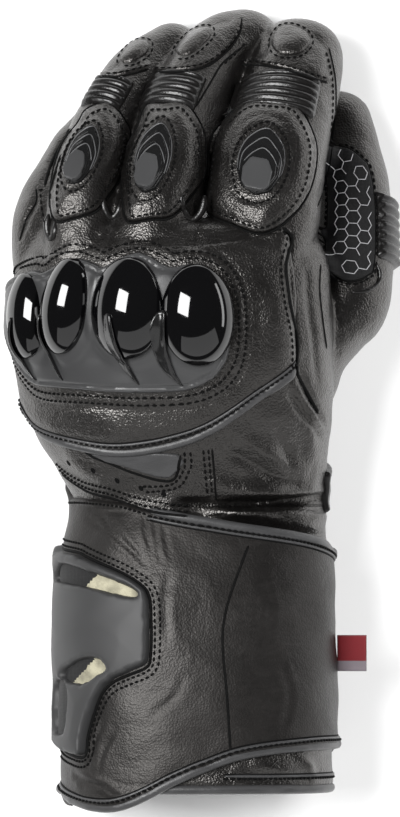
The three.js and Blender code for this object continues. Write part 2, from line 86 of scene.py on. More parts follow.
LITTLE_ROWS = [
    [-53, 34, 51, 8, 9, 8, 2, 0],
    [-55.5, 54, 45, 12, 12.5, 5, 2.1, 0],
    [-54.5, 71, 36, 11.8, 12, 0, 2.1, 0],
    [-48.5, 82, 27.8, 11.5, 11.5, 0, 2.1, 0],
    [-43.5, 91.5, 19.8, 11.3, 11.2, 0, 2.1, 0],
    [-35.5, 101, 11, 10.8, 11, 0, 2, 0],
]
RING_ROWS = [
    [-43, 34, 60, 10, 11, 10, 2, 0],
    [-42, 56, 60, 14, 14.5, 12, 2.1, 0],
    [-39.5, 82, 51.5, 13.5, 14.2, 14, 2.1, 0],
    [-35.5, 96, 42.5, 12.4, 13.2, 18, 2.1, 0],
    [-29, 108.5, 32.5, 12, 12.8, 24, 2.1, 0],
    [-21, 119.5, 21.5, 12.2, 12.6, 30, 2.1, 0],
    [-10.5, 127, 12.4, 12, 12.5, 30, 2, 0],
]
MIDDLE_ROWS = [
    [-21, 34, 65, 11, 12, 8, 2, 0],
    [-18, 56, 64.5, 15.3, 15.5, 12, 2.1, 0],
    [-12.5, 83, 55.5, 14.8, 15.2, 18, 2.1, 0],
    [-9, 97, 46.5, 14, 14.5, 22, 2.1, 0],
    [-4.5, 109, 37, 13.8, 14.2, 28, 2.1, 0],
    [1.5, 120, 27, 14.2, 14, 32, 2.1, 0],
    [8.5, 128, 18.5, 14.2, 13.8, 32, 2.1, 0],
    [16, 131, 13.6, 13.6, 13.7, 32, 2, 0],
]
INDEX_ROWS = [
    [10, 32, 63, 12, 12, 8, 2, 0],
    [20.5, 54, 61, 19, 16.5, 10, 2.1, 0],
    [24.5, 82, 54, 20, 16.5, 12, 2.1, 0],
    [28.5, 97, 46, 18.2, 15.2, 12, 2.1, 0],
    [31.5, 109, 37, 17.4, 14.6, 12, 2.1, 0],
    [33.8, 119, 29, 17.4, 14.4, 12, 2.1, 0],
    [35.5, 127, 22, 16.4, 14, 12, 2, 0],
]
THUMB_ROWS = [
    [21, -18, 34, 10, 13, 0, 2, 0],
    [33, 2, 36, 13, 17, 0, 2.1, 0],
    [40, 19, 36.5, 13, 17.5, 0, 2.1, 0],
    [47.5, 30, 35.8, 13.8, 17.6, 0, 2.1, 0],
    [52.5, 39, 34, 16, 17, 0, 2.1, 0],
    [55, 58, 29.5, 14.8, 15.5, 0, 2.1, 0],
    [55.2, 76, 23.5, 13.6, 14, 0, 2.1, 0],
    [53, 91, 17, 12.8, 13.2, 0, 2.1, 0],
    [50.5, 103.5, 12, 11.5, 12.2, 0, 2, 0],
]


def signed_power(value, power):
    return np.sign(value) * np.abs(value) ** power


def unit(vectors):
    """Rows of vectors brought to length one."""
    return vectors / np.maximum(np.linalg.norm(vectors, axis=1, keepdims=True), 1e-9)


class Tube:
    """A bent tube: a smooth curve through a table of sections, closed by a round tip past the last one."""

    def __init__(self, rows, tip, standing=False):
        self.rows = np.array(rows, float)
        self.standing = standing
        self.tip = tip
        self.last = len(rows) - 1
        places = np.linspace(0, self.last + (0 if standing else 1), 600)
        heights = self.value("y", places) if standing else self.point(places, 90.0)[:, 1]
        self.ridge = (np.maximum.accumulate(heights), places)

    def value(self, column, place):
        values = self.rows[:, COLUMNS.index(column)]
        place = np.asarray(place, float)
        row = np.clip(np.floor(place).astype(int), 0, self.last - 1)
        t = place - row
        a, b, c, d = (values[np.clip(row + k, 0, self.last)] for k in (-1, 0, 1, 2))
        return b + 0.5 * t * (c - a + t * (2 * a - 5 * b + 4 * c - d + t * (3 * (b - c) + d - a)))

    def centre(self, place):
        return np.stack([self.value(column, place) for column in "xyz"], -1)

    def point(self, place, angle, rise=0.0):
        """The point at an angle round the section, 0 on the thumb's side and 90 on the back of the hand."""
        given = [np.atleast_1d(np.asarray(value, float)) for value in (place, angle, rise)]
        place, angle, rise = np.broadcast_arrays(*given)
        held = np.minimum(place, self.last)
        turn = np.clip(place - self.last, 0, 1) * math.pi / 2
        if self.standing:
            along = np.broadcast_to(np.array([0.0, 1.0, 0.0]), (len(place), 3))
        else:
            along = unit(self.centre(held) - self.centre(held - 0.05))
        across = unit(np.stack([along[:, 1], -along[:, 0], 0 * along[:, 0]], -1))
        up = np.cross(across, along)
        roll = np.radians(self.value("roll", held))[:, None]
        wide = across * np.cos(roll) + up * np.sin(roll)
        tall = up * np.cos(roll) - across * np.sin(roll)
        shrink = np.cos(turn)
        power = 2 / self.value("square", held)
        side = signed_power(np.cos(np.radians(angle)), power)
        width = (self.value("w", held) + rise) * shrink * side
        height = (self.value("h", held) + rise) * shrink * signed_power(np.sin(np.radians(angle)), power)
        height = height - self.value("arch", held) * side**2 * shrink
        middle = self.centre(held) + along * ((self.tip + rise) * np.sin(turn))[:, None]
        point = middle + wide * width[:, None] + tall * height[:, None]
        point[:, 2] = np.maximum(point[:, 2], -rise)
        return point

    def seen(self, angle, y, rise):
        """The point at an angle, where the ridge of the section is seen from above at a value of y."""
        return self.point(np.interp(y, *self.ridge), angle, rise)

    def angle_at(self, x, y, rise):
        """The angle on the upper side where the piece at that rise is seen at x."""
        low, high = np.zeros(len(x)), np.full(len(x), 180.0)
        for _ in range(24):
            middle = (low + high) / 2
            right = self.seen(middle, y, rise)[:, 0] > x
            low, high = np.where(right, middle, low), np.where(right, high, middle)
        return (low + high) / 2


TRUNK = Tube(TRUNK_ROWS, 6, standing=True)
STALLS = {
    "index": Tube(INDEX_ROWS, 14),
    "middle": Tube(MIDDLE_ROWS, 13.5),
    "ring": Tube(RING_ROWS, 12),
    "little": Tube(LITTLE_ROWS, 10),
    "thumb": Tube(THUMB_ROWS, 11),
}


# Sizes and colours that a user would change


class GloveSizes(bpy.types.PropertyGroup):
    """Heights and spacings of the pieces."""

    cell: bpy.props.FloatProperty(
        name="Skin cell",
        description="Mesh cell of the leather skin",
        default=0.00115,
        min=0.0,
        precision=5,
        subtype="DISTANCE",
        unit="LENGTH",
    )
    fold: bpy.props.FloatProperty(
        name="Folds",
        description="Depth of the deepest fold at the wrist",
        default=0.0042,
        min=0.0,
        precision=5,
        subtype="DISTANCE",
        unit="LENGTH",
    )
    pad: bpy.props.FloatProperty(
        name="Pad height",
        description="How far the finger pads stand off the leather",
        default=0.003,
        min=0.0,
        precision=5,
        subtype="DISTANCE",
        unit="LENGTH",
    )
    panel: bpy.props.FloatProperty(
        name="Panel height",
        description="How far the panel on the back of the hand stands off",
        default=0.0017,
        min=0.0,
        precision=5,
        subtype="DISTANCE",
        unit="LENGTH",
    )
    frame: bpy.props.FloatProperty(
        name="Frame height",
        description="How far the knuckle frame stands off",
        default=0.0042,
        min=0.0,
        precision=5,
        subtype="DISTANCE",
        unit="LENGTH",
    )
    guard: bpy.props.FloatProperty(
        name="Guard height",
        description="How far the wrist guard stands off",
        default=0.0076,
        min=0.0,
        precision=5,
        subtype="DISTANCE",
        unit="LENGTH",
    )
    flap: bpy.props.FloatProperty(
        name="Flap height",
        description="How far the closing flap stands off",
        default=0.0024,
        min=0.0,
        precision=5,
        subtype="DISTANCE",
        unit="LENGTH",
    )
    piping: bpy.props.FloatProperty(
        name="Piping radius",
        description="Radius of the rolled edge bindings",
        default=0.00175,
        min=0.0,
        precision=5,
        subtype="DISTANCE",
        unit="LENGTH",
    )
    stitch_pitch: bpy.props.FloatProperty(
        name="Stitch pitch",
        description="Distance from one stitch to the next",
        default=0.0023,
        min=0.0,
        precision=5,
        subtype="DISTANCE",
        unit="LENGTH",
    )
    stitch_length: bpy.props.FloatProperty(
        name="Stitch length",
        description="Length of one stitch",
        default=0.00145,
        min=0.0,
        precision=5,
        subtype="DISTANCE",
        unit="LENGTH",
    )
    grain: bpy.props.FloatProperty(
        name="Leather grain",
        description="Size of one pebble of the leather's grain",
        default=0.00075,
        min=0.0,
        precision=5,
        subtype="DISTANCE",
        unit="LENGTH",
    )


class GloveColours(bpy.types.PropertyGroup):
    """Base colours of the finishes."""

    leather: bpy.props.FloatVectorProperty(
        name="Leather",
        description="Grained leather",
        default=(0.0036, 0.0033, 0.0032),
        min=0.0,
        max=1.0,
        size=3,
        subtype="COLOR",
    )
    satin: bpy.props.FloatVectorProperty(
        name="Satin leather",
        description="Smooth leather of the piping and the insert",
        default=(0.032, 0.032, 0.033),
        min=0.0,
        max=1.0,
        size=3,
        subtype="COLOR",
    )
    moulding: bpy.props.FloatVectorProperty(
        name="Moulding",
        description="Satin plastic of the frame, the guard and the sliders",
        default=(0.032, 0.0322, 0.033),
        min=0.0,
        max=1.0,
        size=3,
        subtype="COLOR",
    )
    gloss: bpy.props.FloatVectorProperty(
        name="Gloss",
        description="Polished plastic of the knuckle domes",
        default=(0.0012, 0.0012, 0.0014),
        min=0.0,
        max=1.0,
        size=3,
        subtype="COLOR",
    )
    thread: bpy.props.FloatVectorProperty(
        name="Thread",
        description="Sewing thread",
        default=(0.002, 0.002, 0.002),
        min=0.0,
        max=1.0,
        size=3,
        subtype="COLOR",
    )
    foam: bpy.props.FloatVectorProperty(
        name="Foam",
        description="Foam that shows in the guard's slit",
        default=(0.33, 0.31, 0.225),
        min=0.0,
        max=1.0,
        size=3,
        subtype="COLOR",
    )
    net: bpy.props.FloatVectorProperty(
        name="Net",
        description="Lines of the net on the thumb's panel",
        default=(0.3, 0.3, 0.31),
        min=0.0,
        max=1.0,
        size=3,
        subtype="COLOR",
    )
    red: bpy.props.FloatVectorProperty(
        name="Tag band",
        description="Band of the side tag",
        default=(0.17, 0.006, 0.011),
        min=0.0,
        max=1.0,
        size=3,
        subtype="COLOR",
    )
    floor: bpy.props.FloatVectorProperty(
        name="Floor",
        description="Studio floor",
        default=(0.9, 0.9, 0.9),
        min=0.0,
        max=1.0,
        size=3,
        subtype="COLOR",
    )


class Millimetres:
    """The same sizes read in millimetres, as the glove is drawn."""

    def __init__(self, group):
        self.group = group

    def __getattr__(self, name):
        return getattr(self.group, name) / MM


def sizes():
    return Millimetres(bpy.context.scene.glove_sizes)


def colours():
    return bpy.context.scene.glove_colours


# Finishes


class Finish:
    """A material under construction: its principled shader and the links into it."""

    def __init__(self, name, base, roughness, **sockets):
        self.material = bpy.data.materials.new(name)
        self.material.use_nodes = True
        self.nodes = self.material.node_tree.nodes
        self.links = self.material.node_tree.links
        self.shader = self.nodes["Principled BSDF"]
        self.shader.inputs["Base Color"].default_value = (*base, 1)
        self.shader.inputs["Roughness"].default_value = roughness
        for socket, value in sockets.items():
            self.shader.inputs[socket.replace("_", " ")].default_value = value
        self.place = self.nodes.new("ShaderNodeTexCoord").outputs["Object"]

    def texture(self, kind, scale, place=None, **settings):
        node = self.nodes.new(f"ShaderNodeTex{kind}")
        self.links.new(place or self.place, node.inputs["Vector"])
        node.inputs["Scale"].default_value = scale
        for setting, value in settings.items():
            if setting in node.inputs:
                node.inputs[setting].default_value = value
            else:
                setattr(node, setting, value)
        return node

    def stretched(self, stretch, turn=(0, 0, 0)):
        node = self.nodes.new("ShaderNodeMapping")
        self.links.new(self.place, node.inputs["Vector"])
        node.inputs["Scale"].default_value = stretch
        node.inputs["Rotation"].default_value = turn
        return node.outputs["Vector"]

    def math(self, operation, a, b):
        node = self.nodes.new("ShaderNodeMath")
        node.operation = operation
        for socket, value in zip(node.inputs, (a, b)):
            if isinstance(value, (int, float)):
                socket.default_value = value
            else:
                self.links.new(value, socket)
        return node.outputs[0]

    def ranged(self, value, low, high, from_low, from_high):
        node = self.nodes.new("ShaderNodeMapRange")
        self.links.new(value, node.inputs["Value"])
        limits = {"From Min": from_low, "From Max": from_high, "To Min": low, "To Max": high}
        for socket, number in limits.items():
            node.inputs[socket].default_value = number
        return node.outputs["Result"]

    def blend(self, share, first, second):
        node = self.nodes.new("ShaderNodeMix")
        node.data_type = "RGBA"
        self.links.new(share, node.inputs["Factor"])
        node.inputs["A"].default_value = (*first, 1)
        node.inputs["B"].default_value = (*second, 1)
        return node.outputs["Result"]

    def bump(self, height, distance, strength=1.0, under=None):
        node = self.nodes.new("ShaderNodeBump")
        node.inputs["Distance"].default_value = distance * MM
        node.inputs["Strength"].default_value = strength
        self.links.new(height, node.inputs["Height"])
        if under:
            self.links.new(under, node.inputs["Normal"])
        return node.outputs["Normal"]

    def set(self, **links):
        for socket, value in links.items():
            self.links.new(value, self.shader.inputs[socket.replace("_", " ")])
        return self.material


def scaled(tone, factor):
    return tuple(min(1.0, channel * factor) for channel in tone)


def grained_leather(name, tone, relief=1.0, low=0.23, high=0.34, specular=0.85):
    """Pebbled leather: cells with creases between them, long fine wrinkles, and worn, shinier high spots."""
    finish = Finish(name, tone, 0.42, Specular_Tint=(1.0, 0.965, 0.93, 1.0), Specular_IOR_Level=specular)
    swells = finish.texture("Noise", 85, Detail=2.0, Distortion=0.4)
    wobble = finish.texture("Noise", 700, Detail=3.0, Distortion=0.6)
    per_metre = 1000 / sizes().grain
    cells = finish.texture("Voronoi", per_metre, feature="SMOOTH_F1", Smoothness=0.3, Randomness=0.95)
    pores = finish.texture("Noise", 2600, Detail=2.0)
    drawn = finish.stretched((1, 2.2, 1), (0, 0, 0.5))
    wrinkles = finish.texture("Noise", 150, drawn, Detail=5.0, Distortion=1.2)
    clouds = finish.texture("Noise", 30, Detail=4.0)
    pebble = finish.math("SUBTRACT", 1.0, cells.outputs["Distance"])
    pebble = finish.math("ADD", pebble, finish.math("MULTIPLY", wobble.outputs["Fac"], 0.5))
    normal = finish.bump(swells.outputs["Fac"], relief)
    normal = finish.bump(wrinkles.outputs["Fac"], 0.16 * relief, 1.0, normal)
    normal = finish.bump(pebble, 0.17 * relief, 1.0, normal)
    normal = finish.bump(pores.outputs["Fac"], 0.02, 0.6, normal)
    # The base colour is darker in the wrinkles' valleys, which is painted shade, and mottled at random by the
    # clouds.
    wrinkle_shade_and_mottle = finish.math("MULTIPLY", clouds.outputs["Fac"], wrinkles.outputs["Fac"])
    wrinkle_shade_and_mottle = finish.ranged(wrinkle_shade_and_mottle, 0, 1, 0.12, 0.42)
    rough = finish.ranged(clouds.outputs["Fac"], low, high, 0.35, 0.65)
    rough = finish.math("ADD", rough, finish.math("MULTIPLY", cells.outputs["Distance"], 0.12))
    tones = finish.blend(wrinkle_shade_and_mottle, scaled(tone, 0.6), scaled(tone, 1.5))
    return finish.set(Normal=normal, Roughness=rough, Base_Color=tones)


def satin_leather(name, tone, low=0.36, high=0.48):
    """Smooth leather: faint creases, a hint of pore, soft sheen."""
    finish = Finish(name, tone, 0.42)
    creases = finish.texture("Noise", 95, finish.stretched((1, 3.0, 1)), Detail=5.0, Distortion=0.8)
    pores = finish.texture("Voronoi", 1500, feature="SMOOTH_F1", Smoothness=0.5)
    clouds = finish.texture("Noise", 30, Detail=2.0)
    normal = finish.bump(creases.outputs["Fac"], 0.22)
    normal = finish.bump(pores.outputs["Distance"], 0.045, 1.0, normal)
    rough = finish.ranged(clouds.outputs["Fac"], low, high, 0.3, 0.7)
    # The base colour is darker in the creases' valleys: painted shade.
    share = finish.ranged(creases.outputs["Fac"], 0, 1, 0.3, 0.7)
    tones = finish.blend(share, scaled(tone, 0.8), scaled(tone, 1.2))
    return finish.set(Normal=normal, Roughness=rough, Base_Color=tones)


def moulded_plastic(name, tone, low, high):
    """Satin moulding: fine spark-eroded texture and slightly uneven gloss."""
    finish = Finish(name, tone, 0.4)
    grain = finish.texture("Noise", 3200, Detail=2.0)
    clouds = finish.texture("Noise", 45, Detail=3.0)
    normal = finish.bump(grain.outputs["Fac"], 0.02, 0.7)
    rough = finish.ranged(clouds.outputs["Fac"], low, high, 0.3, 0.7)
    tones = finish.blend(clouds.outputs["Fac"], scaled(tone, 0.9), scaled(tone, 1.12))
    return finish.set(Normal=normal, Roughness=rough, Base_Color=tones)


def polished_plastic(name, tone):
    """High gloss: near-black with the faintest ripple and wiping marks."""
    finish = Finish(name, tone, 0.05, Coat_Weight=0.3, Coat_Roughness=0.03)
    ripple = finish.texture("Noise", 22, Detail=1.0)
    wipes = finish.texture("Noise", 240, finish.stretched((1, 6, 1), (0, 0, 0.7)), Detail=4.0)
    normal = finish.bump(ripple.outputs["Fac"], 0.05, 0.5)
    rough = finish.ranged(wipes.outputs["Fac"], 0.03, 0.1, 0.4, 0.75)
    tones = finish.blend(ripple.outputs["Fac"], tone, scaled(tone, 1.5))
    return finish.set(Normal=normal, Roughness=rough, Base_Color=tones)


def twisted_thread(name, tone):
    """Matt sewing thread with the bands of its twist."""
    finish = Finish(name, tone, 0.7, Specular_IOR_Level=0.12)
    plies = finish.texture("Wave", 900, Distortion=2.0)
    normal = finish.bump(plies.outputs["Fac"], 0.08)
    # Darker in the grooves between the plies: painted shade.
    tones = finish.blend(plies.outputs["Fac"], scaled(tone, 0.7), scaled(tone, 1.6))
    return finish.set(Normal=normal, Base_Color=tones)


def open_foam(name, tone):
    """Pale foam with open cells and darker, dirtier patches."""
    finish = Finish(name, tone, 0.85)
    cells = finish.texture("Voronoi", 1500)
    clouds = finish.texture("Noise", 200, Detail=4.0)
    normal = finish.bump(cells.outputs["Distance"], 0.2)
    share = finish.ranged(clouds.outputs["Fac"], 0, 1, 0.35, 0.65)
    tones = finish.blend(share, scaled(tone, 0.6), scaled(tone, 1.15))
    return finish.set(Normal=normal, Base_Color=tones)


def woven_cloth(name, tone, pitch, sheen=0.15):
    """A plain weave of two crossed sets of yarns."""
    finish = Finish(name, tone, 0.8, Sheen_Weight=sheen)
    turns = 1000 / pitch / 3.2
    warp = finish.texture("Wave", turns, bands_direction="X", Distortion=0.6)
    weft = finish.texture("Wave", turns, bands_direction="Y", Distortion=0.6)
    clouds = finish.texture("Noise", 90, Detail=3.0)
    yarns = finish.math("MAXIMUM", warp.outputs["Fac"], weft.outputs["Fac"])
    normal = finish.bump(yarns, 0.15)
    # Darker between the yarns, which is painted shade, and uneven at random by the clouds.
    share = finish.math("MULTIPLY", yarns, clouds.outputs["Fac"])
    return finish.set(Normal=normal, Base_Color=finish.blend(share, scaled(tone, 0.6), scaled(tone, 1.4)))


FINISHES = {}


def make_finishes():
    tint = colours()
    FINISHES.update(
        leather=grained_leather("grained_leather", tint.leather),
        fine=grained_leather("fine_leather", scaled(tint.leather, 1.8), 0.5, 0.36, 0.46, 0.38),
        soft=satin_leather("soft_leather", scaled(tint.leather, 1.2), 0.24, 0.36),
        satin=satin_leather("satin_leather", tint.satin),
        moulding=moulded_plastic("moulding", tint.moulding, 0.32, 0.42),
        plate=moulded_plastic("guard_moulding", scaled(tint.moulding, 0.66), 0.5, 0.58),
        dark_moulding=moulded_plastic("dark_moulding", scaled(tint.moulding, 0.2), 0.16, 0.24),
        # A lighter copy of the moulding for the sliders' top terrace: painted highlight on its lit face.
        light_moulding=moulded_plastic("light_moulding", scaled(tint.moulding, 1.15), 0.3, 0.38),
        # A pale copy of the moulding for cords along the sliders' step edges: painted highlights.
        worn_moulding=moulded_plastic("worn_moulding", scaled(tint.moulding, 2.4), 0.3, 0.38),
        gloss=polished_plastic("polished_domes", tint.gloss),
        thread=twisted_thread("thread", tint.thread),
        foam=open_foam("foam", tint.foam),
        cloth=woven_cloth("stretch_cloth", (0.003, 0.003, 0.0034), 0.5, 0.02),
        lining=woven_cloth("lining_cloth", (0.02, 0.02, 0.022), 0.9, 0.3),
        net=moulded_plastic("silver_net", tint.net, 0.3, 0.42),
        red=woven_cloth("tag_red", tint.red, 0.35),
        tag=woven_cloth("tag_cloth", (0.2, 0.17, 0.19), 0.35),
    )


# Meshes


def piece(name, points, faces, finish, replaces=()):
    """A new piece of the glove, from points in millimetres."""
    mesh = bpy.data.meshes.new(name)
    points = np.array(points)
    points[:, 2] = np.maximum(points[:, 2], 0.01)
    mesh.from_pydata((points * MM + SHIFT).tolist(), [], [list(map(int, f)) for f in faces])
    mesh.validate()
    mesh.shade_smooth()
    made = bpy.data.objects.new(name, mesh)
    bpy.context.scene.collection.objects.link(made)
    mesh.materials.append(FINISHES[finish])
    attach(made, "root")
    if replaces:
        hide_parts(*replaces)
    return made


def arrays(mesh):
    """The points and the triangles or quads of a mesh, in millimetres."""
    points = np.empty(len(mesh.vertices) * 3)
    mesh.vertices.foreach_get("co", points)
    return (points.reshape(-1, 3) - SHIFT) / MM, [list(p.vertices) for p in mesh.polygons]


def edge_pairs(faces):
    """The edges of a mesh, each once."""
    pairs = {(min(a, b), max(a, b)) for f in faces for a, b in zip(f, f[1:] + f[:1])}
    return np.array(sorted(pairs))


def neighbour_mean(values, pairs, count):
    """For each point, the mean of a value over the points that an edge joins it to."""
    here, there = pairs.ravel(), pairs[:, ::-1].ravel()
    total = np.stack([np.bincount(here, values[there, k], count) for k in range(3)], -1)
    return total / np.maximum(np.bincount(here, minlength=count), 1)[:, None]


def relaxed(points, pairs, steps):
    """Smooths points without shrinking them, by pulling them in and pushing them out in turn."""
    pull, push = 0.5, -0.52
    for _ in range(steps):
        for share in (pull, push):
            points = points + share * (neighbour_mean(points, pairs, len(points)) - points)
    return points


def point_normals(points, faces):
    """The direction that the surface faces at each point, from the triangles or quads round it."""
    corners = np.array([f[:3] for f in faces])
    a, b, c = (points[corners[:, k]] for k in range(3))
    flat = unit(np.cross(b - a, c - a))
    normals = np.zeros_like(points)
    for k in range(len(faces[0])):
        np.add.at(normals, np.array([f[k] for f in faces]), flat)
    return unit(normals)


def middles_of(points, faces):
    """The middle of each triangle or quad."""
    return points[np.array([f[:4] for f in faces])].mean(1)


def chosen(points, faces, keep):
    """The part of a mesh whose faces are kept."""
    faces = [f for f, kept in zip(faces, keep) if kept]
    used = np.unique(np.concatenate([np.array(f) for f in faces]))
    renumber = np.full(len(points), -1)
    renumber[used] = np.arange(len(used))
    return points[used], [[int(renumber[i]) for i in f] for f in faces]


def closed_tube(tube, rings, sides, start=0.0, rise=0.0):
    """Points and faces of a whole tube, with a flat start and a round tip."""
    places = np.linspace(start, tube.last + 1, rings + 1)[:-1]
    angles = np.arange(sides) * 360 / sides
    points = tube.point(np.repeat(places, sides), np.tile(angles, rings), rise)
    ends = np.vstack([tube.centre(start).reshape(1, 3), tube.point(tube.last + 1, 0.0, rise)])
    faces = []
    for ring in range(rings - 1):
        for side in range(sides):
            here, beside = ring * sides + side, ring * sides + (side + 1) % sides
            faces.append([here, beside, beside + sides, here + sides])
    count, last = rings * sides, (rings - 1) * sides
    for side in range(sides):
        beside = (side + 1) % sides
        faces.append([count, beside, side])
        faces.append([count + 1, last + side, last + beside])
    return np.vstack([points, ends]), faces


def merged(parts):
    """The points and faces of several meshes as one."""
    points, faces, count = [], [], 0
    for part_points, part_faces in parts:
        points.append(part_points)
        faces.extend([[i + count for i in f] for f in part_faces])
        count += len(part_points)
    return np.vstack(points), faces


def voxel_skin(parts, cell):
    """One closed skin over overlapping closed tubes."""
    points, faces = merged(parts)
    mesh = bpy.data.meshes.new("tubes")
    mesh.from_pydata((points * MM + SHIFT).tolist(), [], faces)
    tubes = bpy.data.objects.new("tubes", mesh)
    bpy.context.scene.collection.objects.link(tubes)
    remesh = tubes.modifiers.new("voxels", "REMESH")
    remesh.mode = "VOXEL"
    remesh.voxel_size = cell * MM
    seen = tubes.evaluated_get(bpy.context.evaluated_depsgraph_get())
    skin = bpy.data.meshes.new_from_object(seen)
    bpy.data.objects.remove(tubes)
    return arrays(skin)


# What later pieces lie on: the skin and every piece laid so far, asked with rays.


class Cover:
    """Ray trees of all that is laid so far."""

    def __init__(self):
        self.trees = []

    def add(self, points, faces):
        self.trees.append(BVHTree.FromPolygons(points.tolist(), faces))

    def hit(self, origins, directions, trees=None):
        """Where each ray first meets the cover, or its first few trees, and which rays meet nothing."""
        found = np.full((len(origins), 3), np.nan)
        for index, (origin, direction) in enumerate(zip(origins, directions)):
            nearest = np.inf
            for tree in self.trees[:trees]:
                spot, _, _, far = tree.ray_cast(Vector(origin), Vector(direction))
                if spot is not None and far < nearest:
                    nearest = far
                    found[index] = spot
        return found, np.isnan(found[:, 0])


COVER = Cover()


class Down:
    """The plan of the glove: u and v are x and y, and a point falls straight down onto the glove."""

    def rays(self, uv):
        origins = np.column_stack([uv, np.full(len(uv), 160.0)])
        return origins, np.tile([0.0, 0.0, -1.0], (len(uv), 1))

    def fill(self, uv, points, missed):
        """Points that fall past the glove take the height of the nearest one that doesn't."""
        met = np.flatnonzero(~missed)
        for index in np.flatnonzero(missed):
            nearest = met[np.argmin(((uv[met] - uv[index]) ** 2).sum(1))]
            points[index] = (*uv[index], points[nearest, 2])
        return points


class Round:
    """The mantle of a tube: u is an angle in degrees turned into millimetres, v is the y seen from above."""

    def __init__(self, tube, pitch=0.9, reach=16.0):
        self.tube, self.pitch, self.reach = tube, pitch, reach

    def rays(self, uv):
        angle = 90 - uv[:, 0] / self.pitch
        outer = self.tube.seen(angle, uv[:, 1], self.reach)
        inner = self.tube.seen(angle, uv[:, 1], -3.0)
        return outer, unit(inner - outer)

    def domain(self, xy, rise=3.0):
        """Domain points for points seen from above at x and y."""
        xy = np.asarray(xy, float)
        return np.column_stack([(90 - self.tube.angle_at(xy[:, 0], xy[:, 1], rise)) * self.pitch, xy[:, 1]])

    def fill(self, uv, points, missed):
        """Points beyond the skin, as past the hem, lie on the tube itself."""
        if missed.any():
            angle = 90 - uv[missed, 0] / self.pitch
            points[missed] = self.tube.seen(angle, uv[missed, 1], 0.5)
        return points

    def strip(self, table):
        """The closed outline of a table of angle, lower y and upper y."""
        rows = np.array(table, float)
        u = (90 - rows[:, 0]) * self.pitch
        return np.vstack([np.column_stack([u, rows[:, 1]]), np.column_stack([u, rows[:, 2]])[::-1]])


def landed(where, uv, trees=None, dip=None):
    """Where points land on the cover and the directions they fall in. None lands deeper than dip under the
    smooth surface through them all."""
    origins, directions = where.rays(uv)
    points, missed = COVER.hit(origins, directions, trees)
    points = where.fill(uv, points, missed)
    if dip is not None:
        u, v = (uv - uv.mean(0)).T / 10
        terms = np.column_stack([np.ones(len(uv)), u, v, u * v, u * u, v * v])
        for _ in range(3):
            smooth = terms @ np.linalg.lstsq(terms, points[:, 2], rcond=None)[0]
            points[:, 2] = np.maximum(points[:, 2], smooth - dip)
    return points, directions


def spline(points, step, closed=True):
    """A smooth curve through points, in steps of about that length."""
    points = np.asarray(points, float)
    count = len(points)
    made = []
    for k in range(count if closed else count - 1):
        index = [(k + j) % count if closed else min(max(k + j, 0), count - 1) for j in (-1, 0, 1, 2)]
        a, b, c, d = points[index]
        parts = max(1, round(np.linalg.norm(c - b) / step))
        for t in np.arange(parts) / parts:
            made.append(b + 0.5 * t * (c - a + t * (2 * a - 5 * b + 4 * c - d + t * (3 * (b - c) + d - a))))
    if not closed:
        made.append(points[-1])
    return np.array(made)


def distance(uv, line, closed=True):
    """The distance from each point to a polyline."""
    ends = np.roll(line, -1, axis=0) if closed else line[1:]
    starts = line if closed else line[:-1]
    best = np.full(len(uv), np.inf)
    for a, b in zip(starts, ends):
        run = b - a
        t = np.clip(((uv - a) @ run) / max(run @ run, 1e-9), 0, 1)
        best = np.minimum(best, np.linalg.norm(uv - a - t[:, None] * run, axis=1))
    return best


def nearest(uv, line):
    """The distance from each point to an open polyline, and how far along that is, from 0 to 1."""
    best, share = np.full(len(uv), np.inf), np.zeros(len(uv))
    for index, (a, b) in enumerate(zip(line, line[1:])):
        run = b - a
        t = np.clip(((uv - a) @ run) / max(run @ run, 1e-9), 0, 1)
        far = np.linalg.norm(uv - a - t[:, None] * run, axis=1)
        closer = far < best
        best = np.where(closer, far, best)
        share = np.where(closer, (index + t) / (len(line) - 1), share)
    return best, share


def inside(uv, loop):
    """Which points lie inside a closed line."""
    odd = np.zeros(len(uv), bool)
    for a, b in zip(loop, np.roll(loop, -1, axis=0)):
        crosses = (a[1] > uv[:, 1]) != (b[1] > uv[:, 1])
        at = a[0] + (uv[:, 1] - a[1]) * (b[0] - a[0]) / (b[1] - a[1] if b[1] != a[1] else 1e-9)
        odd ^= crosses & (uv[:, 0] < at)
    return odd


def within(uv, loops):
    """Which points lie inside the first loop and outside the others, which are holes."""
    kept = inside(uv, loops[0])
    for hole in loops[1:]:
        kept &= ~inside(uv, hole)
    return kept


def depths(uv, loops):
    """The distance from each point to the nearest of several closed lines."""
    return np.min([distance(uv, line) for line in loops], axis=0)


def rounded(depth, radius, foot, top):
    """An edge that rises from foot to top in a quarter round."""
    share = 1 - np.clip(depth / radius, 0, 1)
    return foot + (top - foot) * np.sqrt(1 - share**2)


def triangles(loops, cell, radius):
    """Points and triangles that fill a loop with holes: an even grid, and close rings along rounded edges."""
    low, high = loops[0].min(0), loops[0].max(0)
    across, up = np.arange(low[0], high[0], cell), np.arange(low[1], high[1], cell * 0.87)
    grid = np.array([(u + (row % 2) * cell / 2, v) for row, v in enumerate(up) for u in across])
    grid = grid[within(grid, loops)]
    seeds = [grid[depths(grid, loops) > radius + 0.45 * cell]]
    for share in (0.12, 0.35, 0.65, 1.0):
        for line in loops:
            run = np.roll(line, -1, axis=0) - np.roll(line, 1, axis=0)
            side = unit(np.column_stack([-run[:, 1], run[:, 0]]))
            ring = np.vstack([line + side * share * radius, line - side * share * radius])
            ring = ring[within(ring, loops)]
            seeds.append(ring[depths(ring, loops) > 0.93 * share * radius])
    vertices, edges, count = [], [], 0
    for line in loops:
        vertices.extend(line.tolist())
        edges.extend([(count + k, count + (k + 1) % len(line)) for k in range(len(line))])
        count += len(line)
    vertices.extend(np.vstack(seeds).tolist())
    plan, _, faces, _, _, _ = delaunay_2d_cdt([Vector(v) for v in vertices], edges, [], 1, 1e-4)
    uv = np.array([tuple(v) for v in plan])
    faces = [list(f) for f in faces]
    return chosen(uv, faces, within(middles_of(uv, faces), loops))


